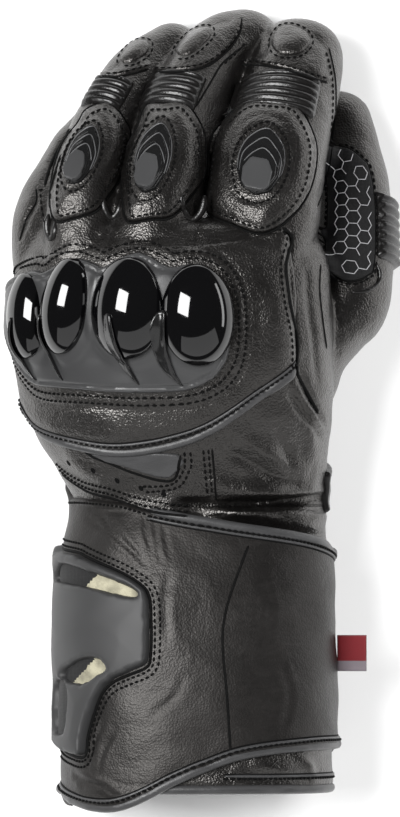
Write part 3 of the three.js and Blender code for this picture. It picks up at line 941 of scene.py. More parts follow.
def laid(
    where, outline, height, cell, radius, holes=(), step=1.2,
    sharp=False, trees=1, soften=3, flat=0.0, dip=None,
):
    """A sheet laid on the glove inside an outline. height gives its rise from the points and their depth.
    cell is the size of a triangle and radius that of the rounded edge. The sheet lies on the first trees of
    the cover, which is the skin alone unless told otherwise, and flat says how much of its bend it loses."""
    loop = np.asarray(outline, float) if sharp else spline(outline, step)
    if sharp:
        loop = np.vstack([spline([a, b], step, False)[:-1] for a, b in zip(loop, np.roll(loop, -1, axis=0))])
    loops = [loop, *[spline(hole, step) for hole in holes]]
    uv, faces = triangles(loops, cell, radius)
    base, directions = landed(where, uv, trees, dip)
    pairs = edge_pairs(faces)
    for _ in range(soften):
        base = base + 0.5 * (neighbour_mean(base, pairs, len(base)) - base)
    normals = point_normals(base, faces)
    if (normals * -directions).sum() < 0:
        normals = -normals
        faces = [f[::-1] for f in faces]
    for _ in range(8):
        normals = normals + 0.6 * (neighbour_mean(normals, pairs, len(normals)) - normals)
    if flat:
        facing = normals.mean(0) / np.linalg.norm(normals.mean(0))
        base = base - flat * np.outer((base - base.mean(0)) @ facing, facing)
        normals = normals + 4 * flat * facing
    return base + unit(normals) * height(uv, depths(uv, loops))[:, None], faces


def laid_piece(name, sheet, finish, replaces=(), cover=True):
    """A piece made of a sheet, which later pieces lie on unless cover is off."""
    points, faces = sheet
    if cover:
        COVER.add(points, faces)
    return piece(name, points, faces, finish, replaces)


def on_cover(where, line, lift=0.0):
    """Points of a line laid on whatever is on top, and their outward directions."""
    points, directions = landed(where, line)
    return points - directions * lift, -directions


def cord(points, radius, sides, out, closed=False, squash=1.0):
    """Points and faces of a rope along a line, flattened along its outward directions."""
    points = np.asarray(points, float)
    count = len(points)
    if closed:
        along = np.roll(points, -1, axis=0) - np.roll(points, 1, axis=0)
    else:
        along = np.gradient(points, axis=0)
    along = unit(along)
    side = unit(np.cross(along, out))
    up = np.cross(side, along)
    radius = np.broadcast_to(radius, (count,))
    rings = []
    for angle in np.arange(sides) * 2 * math.pi / sides:
        aside = side * (radius * math.cos(angle))[:, None]
        above = up * (radius * squash * math.sin(angle))[:, None]
        rings.append(points + aside + above)
    body = np.stack(rings, 1).reshape(-1, 3)
    faces = []
    for k in range(count if closed else count - 1):
        for s in range(sides):
            here, beside = k * sides + s, k * sides + (s + 1) % sides
            ahead = ((k + 1) % count) * sides
            faces.append([here, beside, ahead + (s + 1) % sides, ahead + s])
    if not closed:
        faces.append(list(range(sides))[::-1])
        faces.append([(count - 1) * sides + s for s in range(sides)])
    return body, faces


def even(line, step, closed=False):
    """A polyline resampled at even distances."""
    line = np.asarray(line, float)
    if closed:
        line = np.vstack([line, line[:1]])
    far = np.concatenate([[0], np.cumsum(np.linalg.norm(np.diff(line, axis=0), axis=1))])
    count = max(2, round(far[-1] / step) + 1)
    spots = np.linspace(0, far[-1], count)[: count - 1 if closed else count]
    return np.column_stack([np.interp(spots, far, line[:, k]) for k in range(line.shape[1])])


def edge_of(table, column, low=-400, high=400):
    """One edge of a strip round the hand: the angles and one column of y values, between two angles."""
    rows = np.array([row for row in table if low <= row[0] <= high], float)
    return np.column_stack([(90 - rows[:, 0]) * HAND.pitch, rows[:, column]])


def inset(line, by):
    """A closed line moved to its inside, or outside where by is negative."""
    ahead = np.roll(line, -1, axis=0)
    run = ahead - np.roll(line, 1, axis=0)
    turn = np.sign((line[:, 0] * ahead[:, 1] - ahead[:, 0] * line[:, 1]).sum())
    side = turn * np.column_stack([-run[:, 1], run[:, 0]])
    moved = line + by * side / np.maximum(np.linalg.norm(side, axis=1, keepdims=True), 1e-9)
    return moved[distance(moved, line) > abs(by) * 0.9]


class Sewing:
    """Gathers stitches and seam lines, which become one piece each at the end."""

    def __init__(self):
        self.stitches, self.seams = [], []

    def row(self, where, line, closed=False, lift=0.16, thick=0.46, smooth=True):
        """A row of stitches along a line. In plan, a stitch that would hang past the glove is left out."""
        pitch, steps = sizes().stitch_pitch, 6
        line = spline(line, 0.6, closed) if smooth else np.asarray(line, float)
        spots = even(line, pitch / steps, closed)
        met = ~COVER.hit(*where.rays(spots))[1]
        points, out = on_cover(where, spots, lift)
        long = sizes().stitch_length / pitch * steps
        for start in range(0, len(points) - steps + 1, steps):
            if where is PLAN and not met[start : start + steps].all():
                continue
            part = np.linspace(start, min(start + long, len(points) - 1), 4)
            path = np.column_stack([np.interp(part, np.arange(len(points)), points[:, k]) for k in range(3)])
            bulge = np.array([0.55, 1.0, 1.0, 0.55]) * thick
            facing = out[[int(p) for p in part]]
            path = path - facing * np.array([0.28, 0.0, 0.0, 0.28])[:, None]
            self.stitches.append(cord(path, bulge, 5, facing))

    def border(self, where, loop, by, thick=0.46):
        """A closed row of stitches, as far inside a loop as by says, or outside it where by is negative."""
        self.row(where, even(inset(loop, by), 0.8, True), True, thick=thick, smooth=False)

    def seam(self, where, line, thick, closed=False, smooth=True):
        """A dark line where two pieces of leather meet."""
        line = spline(line, 1.0, closed) if smooth else np.asarray(line, float)
        points, out = on_cover(where, even(line, 1.0, closed))
        taper = np.full(len(points), thick)
        if not closed:
            taper[[0, -1]] *= 0.3
        self.seams.append(cord(points, taper, 6, out, closed, 0.7))


SEWING = Sewing()
PLAN = Down()
HAND = Round(TRUNK)


def tapered(count):
    """Thicknesses along a rope whose ends are drawn in."""
    ends = np.minimum(np.arange(count), np.arange(count)[::-1])
    return np.clip((ends + 0.3) / 3.3, 0, 1) ** 0.5


def eased(points):
    """Draws the points of an open line twice towards their neighbours, all but its ends."""
    for _ in range(2):
        points[1:-1] = (points[:-2] + 2 * points[1:-1] + points[2:]) / 4
    return points


def piping(name, where, line, radius, lift, step, finish="satin", drop=99):
    """A rolled edge binding along a line. It never hangs further below its highest point than its drop."""
    line = even(spline(line, 1.0, False), step)
    points, out = on_cover(where, line, lift)
    points[:, 2] = np.maximum(points[:, 2], points[:, 2].max() - drop)
    body, faces = cord(eased(points), radius * tapered(len(points)), 10, out, squash=0.85)
    COVER.add(body, faces)
    piece(name, body, faces, finish)


def binding(name, line, side, replaces):
    """A folded leather edge: a satin roll, a groove with its stitches and a thin rim. These lie towards the
    fingertips where side is 1, and towards the hem where it is -1."""
    line = even(spline(line, 1.0, False), 1.5)
    roll, out = on_cover(HAND, line, 0.35)
    rim, rim_out = on_cover(HAND, line + [0, 2.5 * side], 0.25)
    SEWING.row(HAND, line + [0, 1.75 * side], lift=0.75, thick=0.5, smooth=False)
    points, faces = merged([
        cord(eased(roll), sizes().piping * tapered(len(roll)), 12, out, squash=0.8),
        cord(eased(rim), 0.55 * tapered(len(rim)), 8, rim_out, squash=0.9),
    ])
    COVER.add(points, faces)
    piece(name, points, faces, "satin", replaces)


# The leather skin

# Two seams down the little finger's side, which the leather dips into.
LITTLE_SEAMS = [
    [(-46.6, 100.4), (-50.2, 95), (-54, 86.9), (-55.8, 79.7)],
    [(-59.1, 79.1), (-58.8, 74.3), (-62.4, 67.7), (-64.8, 59.9)],
]
# Folds and creases of the skin: the line as seen from above, its height and its width. The heights are for a
# deepest fold of DRAWN_FOLD.
DRAWN_FOLD = 4.2
FOLDS = [
    # the hand's leather bulges over the wrist on the thumb's side, with a deep gap under it
    ([(2, -27), (16, -29), (30, -29.5), (44, -29)], 2.4, 3.2),
    ([(-8, -34.4), (6.5, -34.8), (20, -34.6), (31, -33.6), (46, -31.8)], -6.5, 1.7),
    ([(4, -37), (18, -38), (32, -38.2), (46, -39.4)], 3.0, 1.8),
    ([(-7, -36.6), (7.2, -39.4), (24.5, -42.4), (36, -44.4), (48, -47)], -5.5, 1.6),
    ([(20, -36), (27, -38), (33, -41)], -1.2, 1.0),
    # beside the panel, towards the thumb
    ([(11, -16), (18, -20), (27, -25), (36, -28)], -1.3, 1.7),
    ([(16, -11), (24, -16), (33, -21), (40, -22)], 1.5, 2.4),
    ([(26, -8), (30, -14), (33, -24)], -0.9, 1.4),
    ([(31.5, 6), (37, -2), (43.5, -10.5)], -1.7, 1.0),
    ([(35.4, 12), (39.6, 3), (44.5, -6)], -1.9, 1.0),
    ([(33.4, 9), (38.4, 0.6), (44, -8)], 1.0, 1.3),
    ([(40, 2), (40, -9), (41, -20)], 1.0, 2.4),
    ([(24, 44), (27, 30), (25, 14)], 1.2, 4.0),
    ([(31, 58), (31.5, 44), (33.5, 28), (34, 14)], -1.6, 1.0),
    ([(38, 50), (39, 36), (41, 22), (42, 8)], -0.8, 1.1),
    # the small finger's side and the wrist under the panel
    ([(-50, -12), (-44, -20), (-34, -27)], 0.9, 2.6),
    ([(-53, -31), (-44, -34.4), (-34, -36.5), (-22, -37)], -1.4, 1.4),
    # down the little finger's side, where the strip between two fingers is sewn in
    (LITTLE_SEAMS[0], -1.7, 1.2),
    (LITTLE_SEAMS[1], -0.9, 1.1),
    # between the fingers and over their roots
    ([(-54, 62), (-50, 59), (-46, 61)], -0.9, 1.6),
    ([(-31, 66), (-30, 60), (-33, 56)], -1.0, 1.6),
    ([(-2, 66), (-1, 60), (-3, 56)], -1.0, 1.6),
    ([(30, 66), (31.5, 60), (30.5, 54)], -1.2, 1.4),
    # the middle finger's bare side and the gauntlet under the flap
    ([(3, 92), (6, 102), (11, 113)], 1.5, 2.2),
    ([(5.5, 90), (9.5, 101), (14, 111)], -1.0, 1.3),
    ([(20, 126), (24, 131), (24.5, 137)], -0.8, 1.2),
    ([(38, 126), (42, 131), (41, 136)], -0.8, 1.3),
    ([(4, 126), (9, 130), (12, 137)], -0.7, 1.3),
    ([(-31, 121), (-27, 124), (-22, 124)], -0.7, 1.2),
    ([(18, -126), (28, -129), (40, -128)], 1.3, 2.4),
    ([(14, -131), (28, -133.5), (44, -131)], -1.0, 1.3),
    ([(34, -123), (39, -128), (41, -134)], 1.2, 1.6),
]


def fold_heights(points, normals):
    """The rise of the skin from its folds, with fine uneven creases across the wrist."""
    rise = np.zeros(len(points))
    upper = np.clip(normals[:, 2] * 1.6 + 0.3, 0, 1)
    share = sizes().fold / DRAWN_FOLD
    for line, tall, wide in FOLDS:
        near, along = nearest(points[:, :2], spline(line, 3, False))
        fade = np.sin(np.clip(along, 0.01, 0.99) * math.pi) ** 0.5
        rise += share * tall * np.exp(-((near / wide) ** 2)) * upper * fade
    x, y, z = points.T
    waves = np.sin(x * 0.21 + 1.3 * np.sin(y * 0.13) + z * 0.07) * np.sin(y * 0.31 + 0.8 * np.sin(x * 0.11))
    rise += 0.22 * waves
    wrist = np.exp(-(((y + 34) / 13) ** 2))
    creases = np.sin(y * 0.72 + 1.6 * np.sin(x * 0.09 + z * 0.05) + 0.9 * np.sin(x * 0.23))
    rise += 0.4 * wrist * creases * (0.45 + 0.55 * np.clip(x / 40, -1, 1))
    palm = np.clip(-normals[:, 2], 0, 1) * np.clip(z / 12, 0, 1)
    rise += 0.8 * palm * np.sin(y * 0.42 + 1.1 * np.sin(x * 0.08 + 1))
    return rise


def build_skin():
    """The leather of hand, fingers and gauntlet: one skin over the tubes, folded, then cut at the wrist."""
    make_finishes()
    start = float(np.interp(HEM_Y, *TRUNK.ridge))
    tubes = [closed_tube(TRUNK, 90, 96, start), *[closed_tube(tube, 60, 48) for tube in STALLS.values()]]
    points, faces = voxel_skin(tubes, sizes().cell)
    pairs = edge_pairs(faces)
    points = relaxed(points, pairs, 6)
    normals = point_normals(points, faces)
    points = points + normals * fold_heights(points, normals)[:, None]
    points = relaxed(points, pairs, 1)
    points[:, 2] = np.maximum(points[:, 2], 0.02)
    points[:, 1] = np.maximum(points[:, 1], HEM_Y)
    COVER.add(points, faces)
    middles = middles_of(points, faces)
    open_end = middles[:, 1] < HEM_Y + 0.4
    halves = ["back", "palm"]
    shells = [f"{name}_stall_{half}" for name in STALLS for half in halves] + ["hand_back", "hand_palm"]
    for name, keep, replaces in (
        ("hand_leather", middles[:, 1] > WRIST_Y - 0.5, shells),
        ("gauntlet_leather", (middles[:, 1] < WRIST_Y + 0.5) & ~open_end, ["gauntlet"]),
    ):
        part_points, part_faces = chosen(points, faces, keep)
        piece(name, part_points, part_faces, "leather", replaces)
    build_lining(start)


def build_lining(start):
    """The cloth inside, a wall's thickness in from the leather, and the rolled hem round its mouth."""
    tubes = [closed_tube(TRUNK, 60, 64, start, -WALL)]
    tubes += [closed_tube(tube, 40, 32, 0.0, -WALL) for tube in STALLS.values()]
    points, faces = voxel_skin(tubes, 2.2)
    points = relaxed(points, edge_pairs(faces), 3)
    normals = point_normals(points, faces)
    points = points + normals * np.minimum(fold_heights(points, normals) - 0.6, 0)[:, None]
    middles = middles_of(points, faces)
    points, faces = chosen(points, faces, middles[:, 1] > HEM_Y + 1.2)
    faces = [f[::-1] for f in faces]
    piece("lining", points, faces, "lining")
    angles = np.arange(0, 360, 2.5)
    outer = TRUNK.seen(angles, HEM_Y - 0.6, -0.9)
    outer[:, 2] = np.maximum(outer[:, 2], 1.75)
    body, faces = cord(outer, sizes().piping, 12, np.tile([0.0, 1.0, 0.0], (len(angles), 1)), True)
    piece("hem_binding", body, faces, "satin", ["gauntlet_binding"])


# The back of the hand

# The frame's outline, as seen from above.
FRAME_EDGE = [
    (-61.9, 49), (-56.9, 48.6), (-51.5, 51.5), (-45.7, 53.6), (-38.5, 51.5), (-35.3, 50), (-29.9, 52.6),
    (-22.7, 54.7), (-18, 53.6), (-10.8, 50), (-2.9, 51.1), (3.6, 49.7), (8.3, 45), (11.5, 36), (11.5, 23.8),
    (9.7, 16.2), (4.3, 10.1), (-6.1, 6.5), (-24.1, 5.8), (-42.1, 6.8), (-58.7, 8.3), (-64.8, 13.7),
    (-69.1, 22.7), (-70.2, 32.4), (-69.5, 43.2),
]
# The panel: angles round the hand, and the y of its lower and upper edge there.
PANEL = [
    [40, 15, 61], [60, 4, 60], [78, -6.5, 58], [92, -12, 58], [104, -14.3, 58], [116, -15, 57],
    [128, -13.8, 56], [150, -10, 53], [160, -7, 50], [168, -2.5, 47], [175, 3, 40],
]
# Domes: x and y of the middle, halves of width, length and height, and the turn in plan in degrees.
DOMES = {
    "little": [-60.6, 32.4, 9.0, 15.2, 5.4, 4],
    "ring": [-47.2, 35.6, 9.8, 17.4, 6.8, -9],
    "middle": [-25.4, 34.8, 13.2, 18.2, 7.6, -3],
    "index": [-1.0, 32.4, 13.2, 18.2, 7.4, 3],
}
# The lapped edges that run from each dome down the frame: their sharp right sides, and their widths.
FINS = [
    ([(-61.2, 33), (-62, 22), (-60.4, 14), (-57.4, 9.4)], 2.6),
    ([(-53, 34), (-52.6, 22), (-50.4, 14), (-47.6, 9)], 3.0),
    ([(-28.8, 34.6), (-27.6, 26), (-24.8, 15.4), (-20.4, 7.4)], 3.6),
    ([(-11.4, 35.6), (-11.6, 26.4), (-9.4, 14), (-5, 7)], 3.6),
]


def build_panel():
    """The padded leather panel, with two rows of stitches round the frame."""
    outline = HAND.strip(PANEL)
    opening = spline(HAND.domain(FRAME_EDGE), 1.2)

    def height(uv, depth):
        near = distance(uv, opening)
        over = np.where(inside(uv, opening), 0, near)
        welt = 0.4 * np.exp(-(((over - 3.4) / 1.9) ** 2)) - 0.5 * np.exp(-(((over - 5.6) / 0.8) ** 2))
        puff = 0.9 * np.clip((over - 6) / 8, 0, 1) * np.clip(depth / 6, 0, 1)
        return rounded(depth, 1.6, -0.3, sizes().panel) + welt + puff

    sheet = laid(HAND, outline, height, 1.3, 1.6)
    laid_piece("back_padding", sheet, "leather", ["back_panel"])
    for by in (-2.4, -5.0):
        SEWING.border(HAND, opening, by)
    low = edge_of(PANEL, 1)
    binding("panel_binding", low + [0, -0.9], 1.0, ["knuckle_binding"])
    SEWING.seam(HAND, low + [0, 2.3], thick=0.3)


def dome_frame(x, y):
    """The foot of a dome, and its directions across, along and out."""
    angle = TRUNK.angle_at(np.array([x]), np.array([y]), 1.0)
    foot = TRUNK.seen(angle, y, 1.0)[0]
    along = (TRUNK.seen(angle, y + 1, 1.0) - TRUNK.seen(angle, y - 1, 1.0))[0]
    along /= np.linalg.norm(along)
    out = TRUNK.seen(angle, y, 5.0)[0] - foot
    out -= along * (out @ along)
    out /= np.linalg.norm(out)
    return foot, np.cross(along, out), along, out


def build_domes():
    """The four domes: part of an egg each, with a skirt that reaches down through the frame."""
    rings, sides = 22, 56
    low, stand, skirt = math.radians(30), 3.2, 4.0
    for name, (x, y, wide, long, tall, turn) in DOMES.items():
        foot, across, along, out = dome_frame(x, y)
        turned = math.radians(turn)
        side = across * math.cos(turned) + along * math.sin(turned)
        run = along * math.cos(turned) - across * math.sin(turned)
        rows = []
        for climb in np.linspace(low, math.pi / 2, rings, endpoint=False):
            around = np.arange(sides) * 2 * math.pi / sides
            reach = math.cos(climb) / math.cos(low)
            lean = np.cos(around) * wide * reach
            stretch = np.sin(around) * long * reach * (1 + 0.05 * np.sin(around))
            lift = stand + tall * (math.sin(climb) - math.sin(low)) / (1 - math.sin(low))
            rows.append(foot + np.outer(lean, side) + np.outer(stretch, run) + out * lift)
        points = np.vstack([rows[0] - out * skirt, *rows, (foot + out * (stand + tall))[None]])
        faces = []
        for ring in range(rings):
            for s in range(sides):
                here, beside = ring * sides + s, ring * sides + (s + 1) % sides
                faces.append([here, beside, beside + sides, here + sides])
        top = (rings + 1) * sides
        for s in range(sides):
            faces.append([rings * sides + s, rings * sides + (s + 1) % sides, top])
        COVER.add(points, faces)
        piece(f"dome_{name}", points, faces, "gloss", [f"knuckle_dome_{name}"])


def build_fins():
    """Lapped edges that lie over the domes' lower left sides and run out down the frame."""
    parts = []
    for line, wide in FINS:
        right = even(spline(HAND.domain(line), 1.0, False), 1.0)
        share = np.linspace(0, 1, len(right))
        width = wide * np.sin(np.clip(share * 0.9 + 0.1, 0, 1) * math.pi) ** 0.7 + 0.25
        left = right - np.column_stack([width, 0 * width])
        outline = np.vstack([right, left[::-1]])

        def height(uv, depth, right=right, wide=wide):
            near, along = nearest(uv, right)
            swell = np.sin(np.clip(along * 0.92 + 0.06, 0, 1) * math.pi) ** 0.6
            return rounded(depth, 0.35, -0.5, 0.25) + 1.5 * swell * np.exp(-((near / (0.62 * wide)) ** 2))

        parts.append(laid(HAND, outline, height, 0.6, 0.35, step=0.8, sharp=True, trees=None, soften=8))
    points, faces = merged(parts)
    piece("frame_fins", points, faces, "dark_moulding")


def build_frame():
    """The moulded frame, with a groove round its edge and a lip round each dome."""
    outline = HAND.domain(FRAME_EDGE)
    domes = []
    for x, y, wide, long, _, turn in DOMES.values():
        domes.append((HAND.domain([(x, y)])[0], wide, long, math.radians(turn)))

    def height(uv, depth):
        rise = rounded(depth, 1.5, 0.4, sizes().frame - 0.6)
        rise = rise - 0.5 * np.clip((depth - 4) / 8, 0, 1)
        for (u, v), wide, long, turn in domes:
            du, dv = uv[:, 0] - u, uv[:, 1] - v
            across = (du * math.cos(turn) + dv * math.sin(turn)) / wide
            along = (dv * math.cos(turn) - du * math.sin(turn)) / long
            gap = (np.hypot(across, along) - 1) * wide
            rise = rise + 0.7 * np.exp(-((np.clip(gap, 0, None) / 1.3) ** 2)) * np.clip(depth / 1.5, 0, 1)
        return rise - 0.8 * np.exp(-(((depth - 2.4) / 0.45) ** 2))

    sheet = laid(HAND, outline, height, 0.8, 1.5, step=1.0)
    laid_piece("frame_moulding", sheet, "moulding", ["knuckle_frame"])


# The fingers

# Finger pads: their outlines as seen from above.
PADS = {
    "ring": [
        (-40.3, 107.3), (-32.4, 109.1), (-25.9, 100.8), (-25.6, 92.9), (-28.1, 83.9), (-31.7, 77.8),
        (-37.1, 70.6), (-44.6, 68), (-51.5, 67), (-53.3, 73.8), (-52.6, 83.9), (-49.3, 94.7), (-43.9, 101.9),
    ],
    "middle": [
        (-19.1, 108.4), (-12.6, 109.1), (-5.4, 109.1), (0.7, 100.1), (1.8, 91.1), (1.1, 83.2), (-3.6, 75.6),
        (-10.1, 68.4), (-18, 67.3), (-25.9, 67), (-27.7, 78.5), (-27.7, 88.6), (-22.3, 100.8),
    ],
    "index": [
        (9, 103.7), (16.9, 109.8), (25.9, 110.2), (34.9, 108), (40.7, 97.2), (41.4, 87.5), (38.5, 76.7),
        (32.4, 68.4), (22.7, 62.3), (10.8, 65.9), (2.9, 70.6), (2.2, 82.8), (4.3, 97.6),
    ],
}
# Sliders: the end towards the wrist, the end towards the fingertip and half the width.
SLIDERS = {
    "ring": [(-46.4, 79.6), (-38.2, 101), 5.4],
    "middle": [(-20.2, 76.4), (-13.6, 102), 6.4],
    "index": [(19.4, 75.6), (24.2, 100.2), 8.6],
}
# Ribs: the angles round the finger, the y values that they run between, and how many folds.
RIBS = {
    "ring": [62, 142, 108.6, 119.4, 5],
    "middle": [50, 160, 108.8, 121.6, 5],
    "index": [44, 166, 107.4, 121.4, 6],
}
# Tip patches: the outlines of the padded ovals.
TIPS = {
    "ring": [(-29, 124.8), (-27, 129.2), (-22.5, 132.6), (-18.2, 132), (-18.8, 128), (-24, 124.6)],
    "middle": [
        (-9.2, 127.6), (-6.8, 132.4), (-1.6, 136.6), (3.4, 137.4), (4.2, 134.4), (-0.4, 129.4), (-5.2, 126.6),
    ],
    "index": [
        (25.6, 132), (28.4, 137), (33, 138), (38.4, 135.6), (39.8, 131.4), (36.4, 127.8), (30.6, 127),
        (26.8, 128.4),
    ],
}
# Caps over the ends of the fingers: the sewn lower edge, and the edge that runs out round the tip.
CAPS = {
    "ring": (
        [(-36, 119.4), (-31, 119.4), (-25, 120.4), (-18.4, 122.4)],
        [(-17.8, 127), (-18, 131), (-19.4, 133.4), (-23, 132.6), (-28, 128.6), (-33, 123.6)],
    ),
    "middle": (
        [(-16.4, 121.4), (-8, 121.2), (-0.4, 122.2), (5, 124.8), (10.4, 129.6), (14, 135), (15.2, 140)],
        [(9.6, 141.4), (1.6, 139.4), (-4.4, 136), (-9.4, 131.4), (-13.6, 125.6)],
    ),
    "index": (
        [(15.2, 124.2), (22, 123.6), (30.4, 122), (39, 119.4), (46, 117.2)],
        [(48.4, 121.4), (48.2, 128), (44.4, 133.6), (38, 136.2), (30, 134.8), (24, 131), (19, 127.4)],
    ),
}
# A slider's terraces, the lowest first: the outline across and along, in halves of the slider, its rise and
# its finish. The top terrace's lighter moulding is painted light on the face that the light falls on.
SLIDER_STEPS = [
    ([(0, -1), (0.62, -0.8), (0.95, -0.3), (0.98, 0.2), (0.7, 0.68), (0, 1.02), (-0.7, 0.68),
      (-0.98, 0.2), (-0.95, -0.3), (-0.62, -0.8)], 1.9, "dark_moulding"),
    ([(0, -0.92), (0.52, -0.8), (0.86, -0.35), (0.84, 0.16), (0.5, 0.5), (0, 0.74), (-0.5, 0.5),
      (-0.84, 0.16), (-0.86, -0.35), (-0.52, -0.8)], 2.8, "dark_moulding"),
    ([(0, -0.9), (0.5, -0.76), (0.78, -0.4), (0.74, -0.06), (0.42, 0.24), (0, 0.42), (-0.42, 0.24),
      (-0.74, -0.06), (-0.78, -0.4), (-0.5, -0.76)], 3.5, "dark_moulding"),
    ([(-0.36, -0.9), (0.36, -0.9), (0.6, -0.7), (0.64, -0.3), (0.36, 0.04), (-0.36, 0.04), (-0.64, -0.3),
      (-0.6, -0.7)], 3.9, "light_moulding"),
]


def build_finger_pads():
    """The quilted pads, dished under their sliders, with all that lies on each finger."""
    for name, outline in PADS.items():
        low, high, half = SLIDERS[name]
        low, high = np.array(low), np.array(high)
        middle, along = (low + high) / 2, (high - low) / 2
        across = np.array([along[1], -along[0]]) / np.linalg.norm(along) * half

        def local(points, grow=1.0):
            return np.array([middle + across * s * grow + along * t * grow for s, t in points])

        def height(uv, depth):
            shift = uv - middle
            s = (shift @ across) / half**2
            t = (shift @ along) / (along @ along)
            ring = np.hypot(s, t)
            puff = sizes().pad * np.clip(depth / 7, 0, 1) ** 0.7
            dish = -0.9 * np.exp(-((np.clip(ring - 0.2, 0, None) / 0.75) ** 4))
            groove = -0.5 * np.exp(-(((ring - 1.22) / 0.09) ** 2))
            edge = -0.45 * np.exp(-(((depth - 2.0) / 0.6) ** 2))
            gather = 0.22 * np.sin(uv[:, 0] * 2.1 + uv[:, 1] * 1.7) * np.exp(-(((depth - 3.4) / 1.6) ** 2))
            return rounded(depth, 1.3, -0.3, 0.9) + puff + dish + groove + edge + gather

        sheet = laid(PLAN, outline, height, 1.0, 1.3, dip=3.5)
        laid_piece(f"{name}_pad", sheet, "leather", [f"{name}_finger_pad"])
        loop = spline(outline, 1.0)
        SEWING.border(PLAN, loop, 2.0)
        SEWING.seam(PLAN, inset(loop, -0.25), 0.5, True, smooth=False)
        ring = spline(local(SLIDER_STEPS[0][0], 1.18), 1.0)
        SEWING.row(PLAN, even(ring, 0.8, True), True, smooth=False)
        build_slider(name, local, lambda uv: ((uv - middle) @ across) / half**2)
        build_ribs(name)
        build_tip(name)


def build_slider(name, local, aside):
    """A hard slider in terraces, each roofed to its sides and each lower one under the next."""
    trees = len(COVER.trees)
    parts = []
    for outline, rise, finish in SLIDER_STEPS:
        def height(uv, depth, rise=rise, finish=finish):
            roof = 0.9 if finish == "dark_moulding" else 0.3
            return rounded(depth, 0.4, rise - 1.8, rise) - roof * np.abs(aside(uv))

        sheet = laid(PLAN, local(outline), height, 0.9, 0.45, step=0.7, sharp=True, trees=trees, flat=0.85)
        parts.append((sheet, finish))
    points, faces = merged([sheet for sheet, _ in parts])
    COVER.add(points, faces)
    made = piece(f"{name}_terraces", points, faces, "dark_moulding", [f"{name}_slider"])
    kinds = ["dark_moulding"]
    index = []
    for (_, part_faces), finish in parts:
        if finish not in kinds:
            kinds.append(finish)
            made.data.materials.append(FINISHES[finish])
        index += [kinds.index(finish)] * len(part_faces)
    made.data.polygons.foreach_set("material_index", index)
    made.data.set_sharp_from_angle(angle=math.radians(28))
    # Pale cords along the upper edges of the lower three terraces: painted highlights where the step edges
    # catch the light.
    edges = []
    for outline, _, _ in SLIDER_STEPS[:3]:
        arch = [(s, t) for s, t in outline[2:-1] if t > -0.4]
        line = even(spline(local(arch, 0.97), 0.5, False), 0.6)
        spots, out = on_cover(PLAN, line, 0.02)
        edges.append(cord(spots, 0.22 * tapered(len(spots)), 5, out))
    points, faces = merged(edges)
    piece(f"{name}_step_edge_highlights", points, faces, "worn_moulding")


def build_ribs(name):
    """Accordion folds across a joint."""
    first, last, low, high, folds = RIBS[name]
    finger = Round(STALLS[name], 0.25, 3.5)
    left, right = (90 - last) * finger.pitch, (90 - first) * finger.pitch

    def height(uv, depth):
        wave = np.abs(np.sin(np.clip((uv[:, 1] - low) / (high - low), 0, 1) * math.pi * folds)) ** 0.6
        ends = np.minimum(uv[:, 0] - left, right - uv[:, 0])
        wave = wave * np.sin(np.clip(ends / 5, 0, 1) * math.pi / 2)
        return rounded(depth, 1.2, -0.6, 0.7) + 1.7 * wave * np.clip(depth / 1.4, 0, 1) ** 0.7

    strip = finger.strip([[first, low, high], [last, low, high]])
    sheet = laid(finger, strip, height, 0.5, 1.2, sharp=True)
    laid_piece(f"{name}_folds", sheet, "soft", [f"{name}_flex_ribs"])


def build_tip(name):
    """The sewn cap over the end of a finger, and the padded oval on it."""
    lower, upper = CAPS[name]
    sewn = spline(lower, 1.0, False)
    free = spline(upper, 1.0, False)

    def shell(uv, depth):
        share = np.clip(distance(uv, free, False) / 6, 0, 1)
        share = share * share * (3 - 2 * share)
        return rounded(distance(uv, sewn, False), 0.9, -0.3, 1.0) * share - 0.35 * (1 - share)

    laid_piece(f"{name}_cap", laid(PLAN, lower + upper, shell, 1.0, 0.9, dip=4), "leather")
    SEWING.seam(PLAN, sewn + [0, -0.4], thick=0.45, smooth=False)
    SEWING.row(PLAN, sewn + [0, 1.3], smooth=False, thick=0.4)
    outline = TIPS[name]

    def height(uv, depth):
        return rounded(depth, 1.0, -0.3, 0.4) + 1.5 * np.clip(depth / 4, 0, 1) ** 0.6

    sheet = laid(PLAN, outline, height, 0.9, 1.0, trees=None, dip=2)
    laid_piece(f"{name}_tip_oval", sheet, "leather", [f"{name}_tip_patch"])
    SEWING.border(PLAN, spline(outline, 0.8), -0.9, 0.36)


THUMB = Round(STALLS["thumb"], 0.26, 10.0)


def build_thumb():
    """The thumb's ribs, and the cloth panel under a raised net."""
    low, high, count = 55.5, 79, 7
    strip = THUMB.strip([[-42, low, high], [56, low, high]])

    def folds(uv, depth):
        wave = np.abs(np.sin((uv[:, 1] - low) / (high - low) * math.pi * count)) ** 0.65
        return rounded(depth, 1.0, -0.5, 0.4) + 2.3 * wave * np.clip(depth / 2, 0, 1) ** 0.7

    sheet = laid(THUMB, strip, folds, 0.6, 1.0, sharp=True)
    laid_piece("thumb_folds", sheet, "soft", ["thumb_flex_ribs"])
    panel = THUMB.strip([[60, 54, 84], [68, 49, 89], [90, 45.5, 94], [112, 47, 93], [128, 52, 88]])

    def flat(uv, depth):
        return rounded(depth, 0.8, -0.2, 0.7)

    laid_piece("thumb_cloth", laid(THUMB, panel, flat, 1.1, 0.8), "cloth", ["thumb_mesh_panel"])
    loop = spline(panel, 0.8)
    SEWING.seam(THUMB, loop, 0.5, True, smooth=False)
    SEWING.border(THUMB, loop, -1.0)
    build_net(inset(loop, 0.9))
    under = [(54.4, 41.6), (60, 42.2), (64, 44.8), (65, 48.6), (63.4, 52)]
    piping("thumb_piping", PLAN, under, 0.7, 0.2, 1.0, "soft", drop=6)


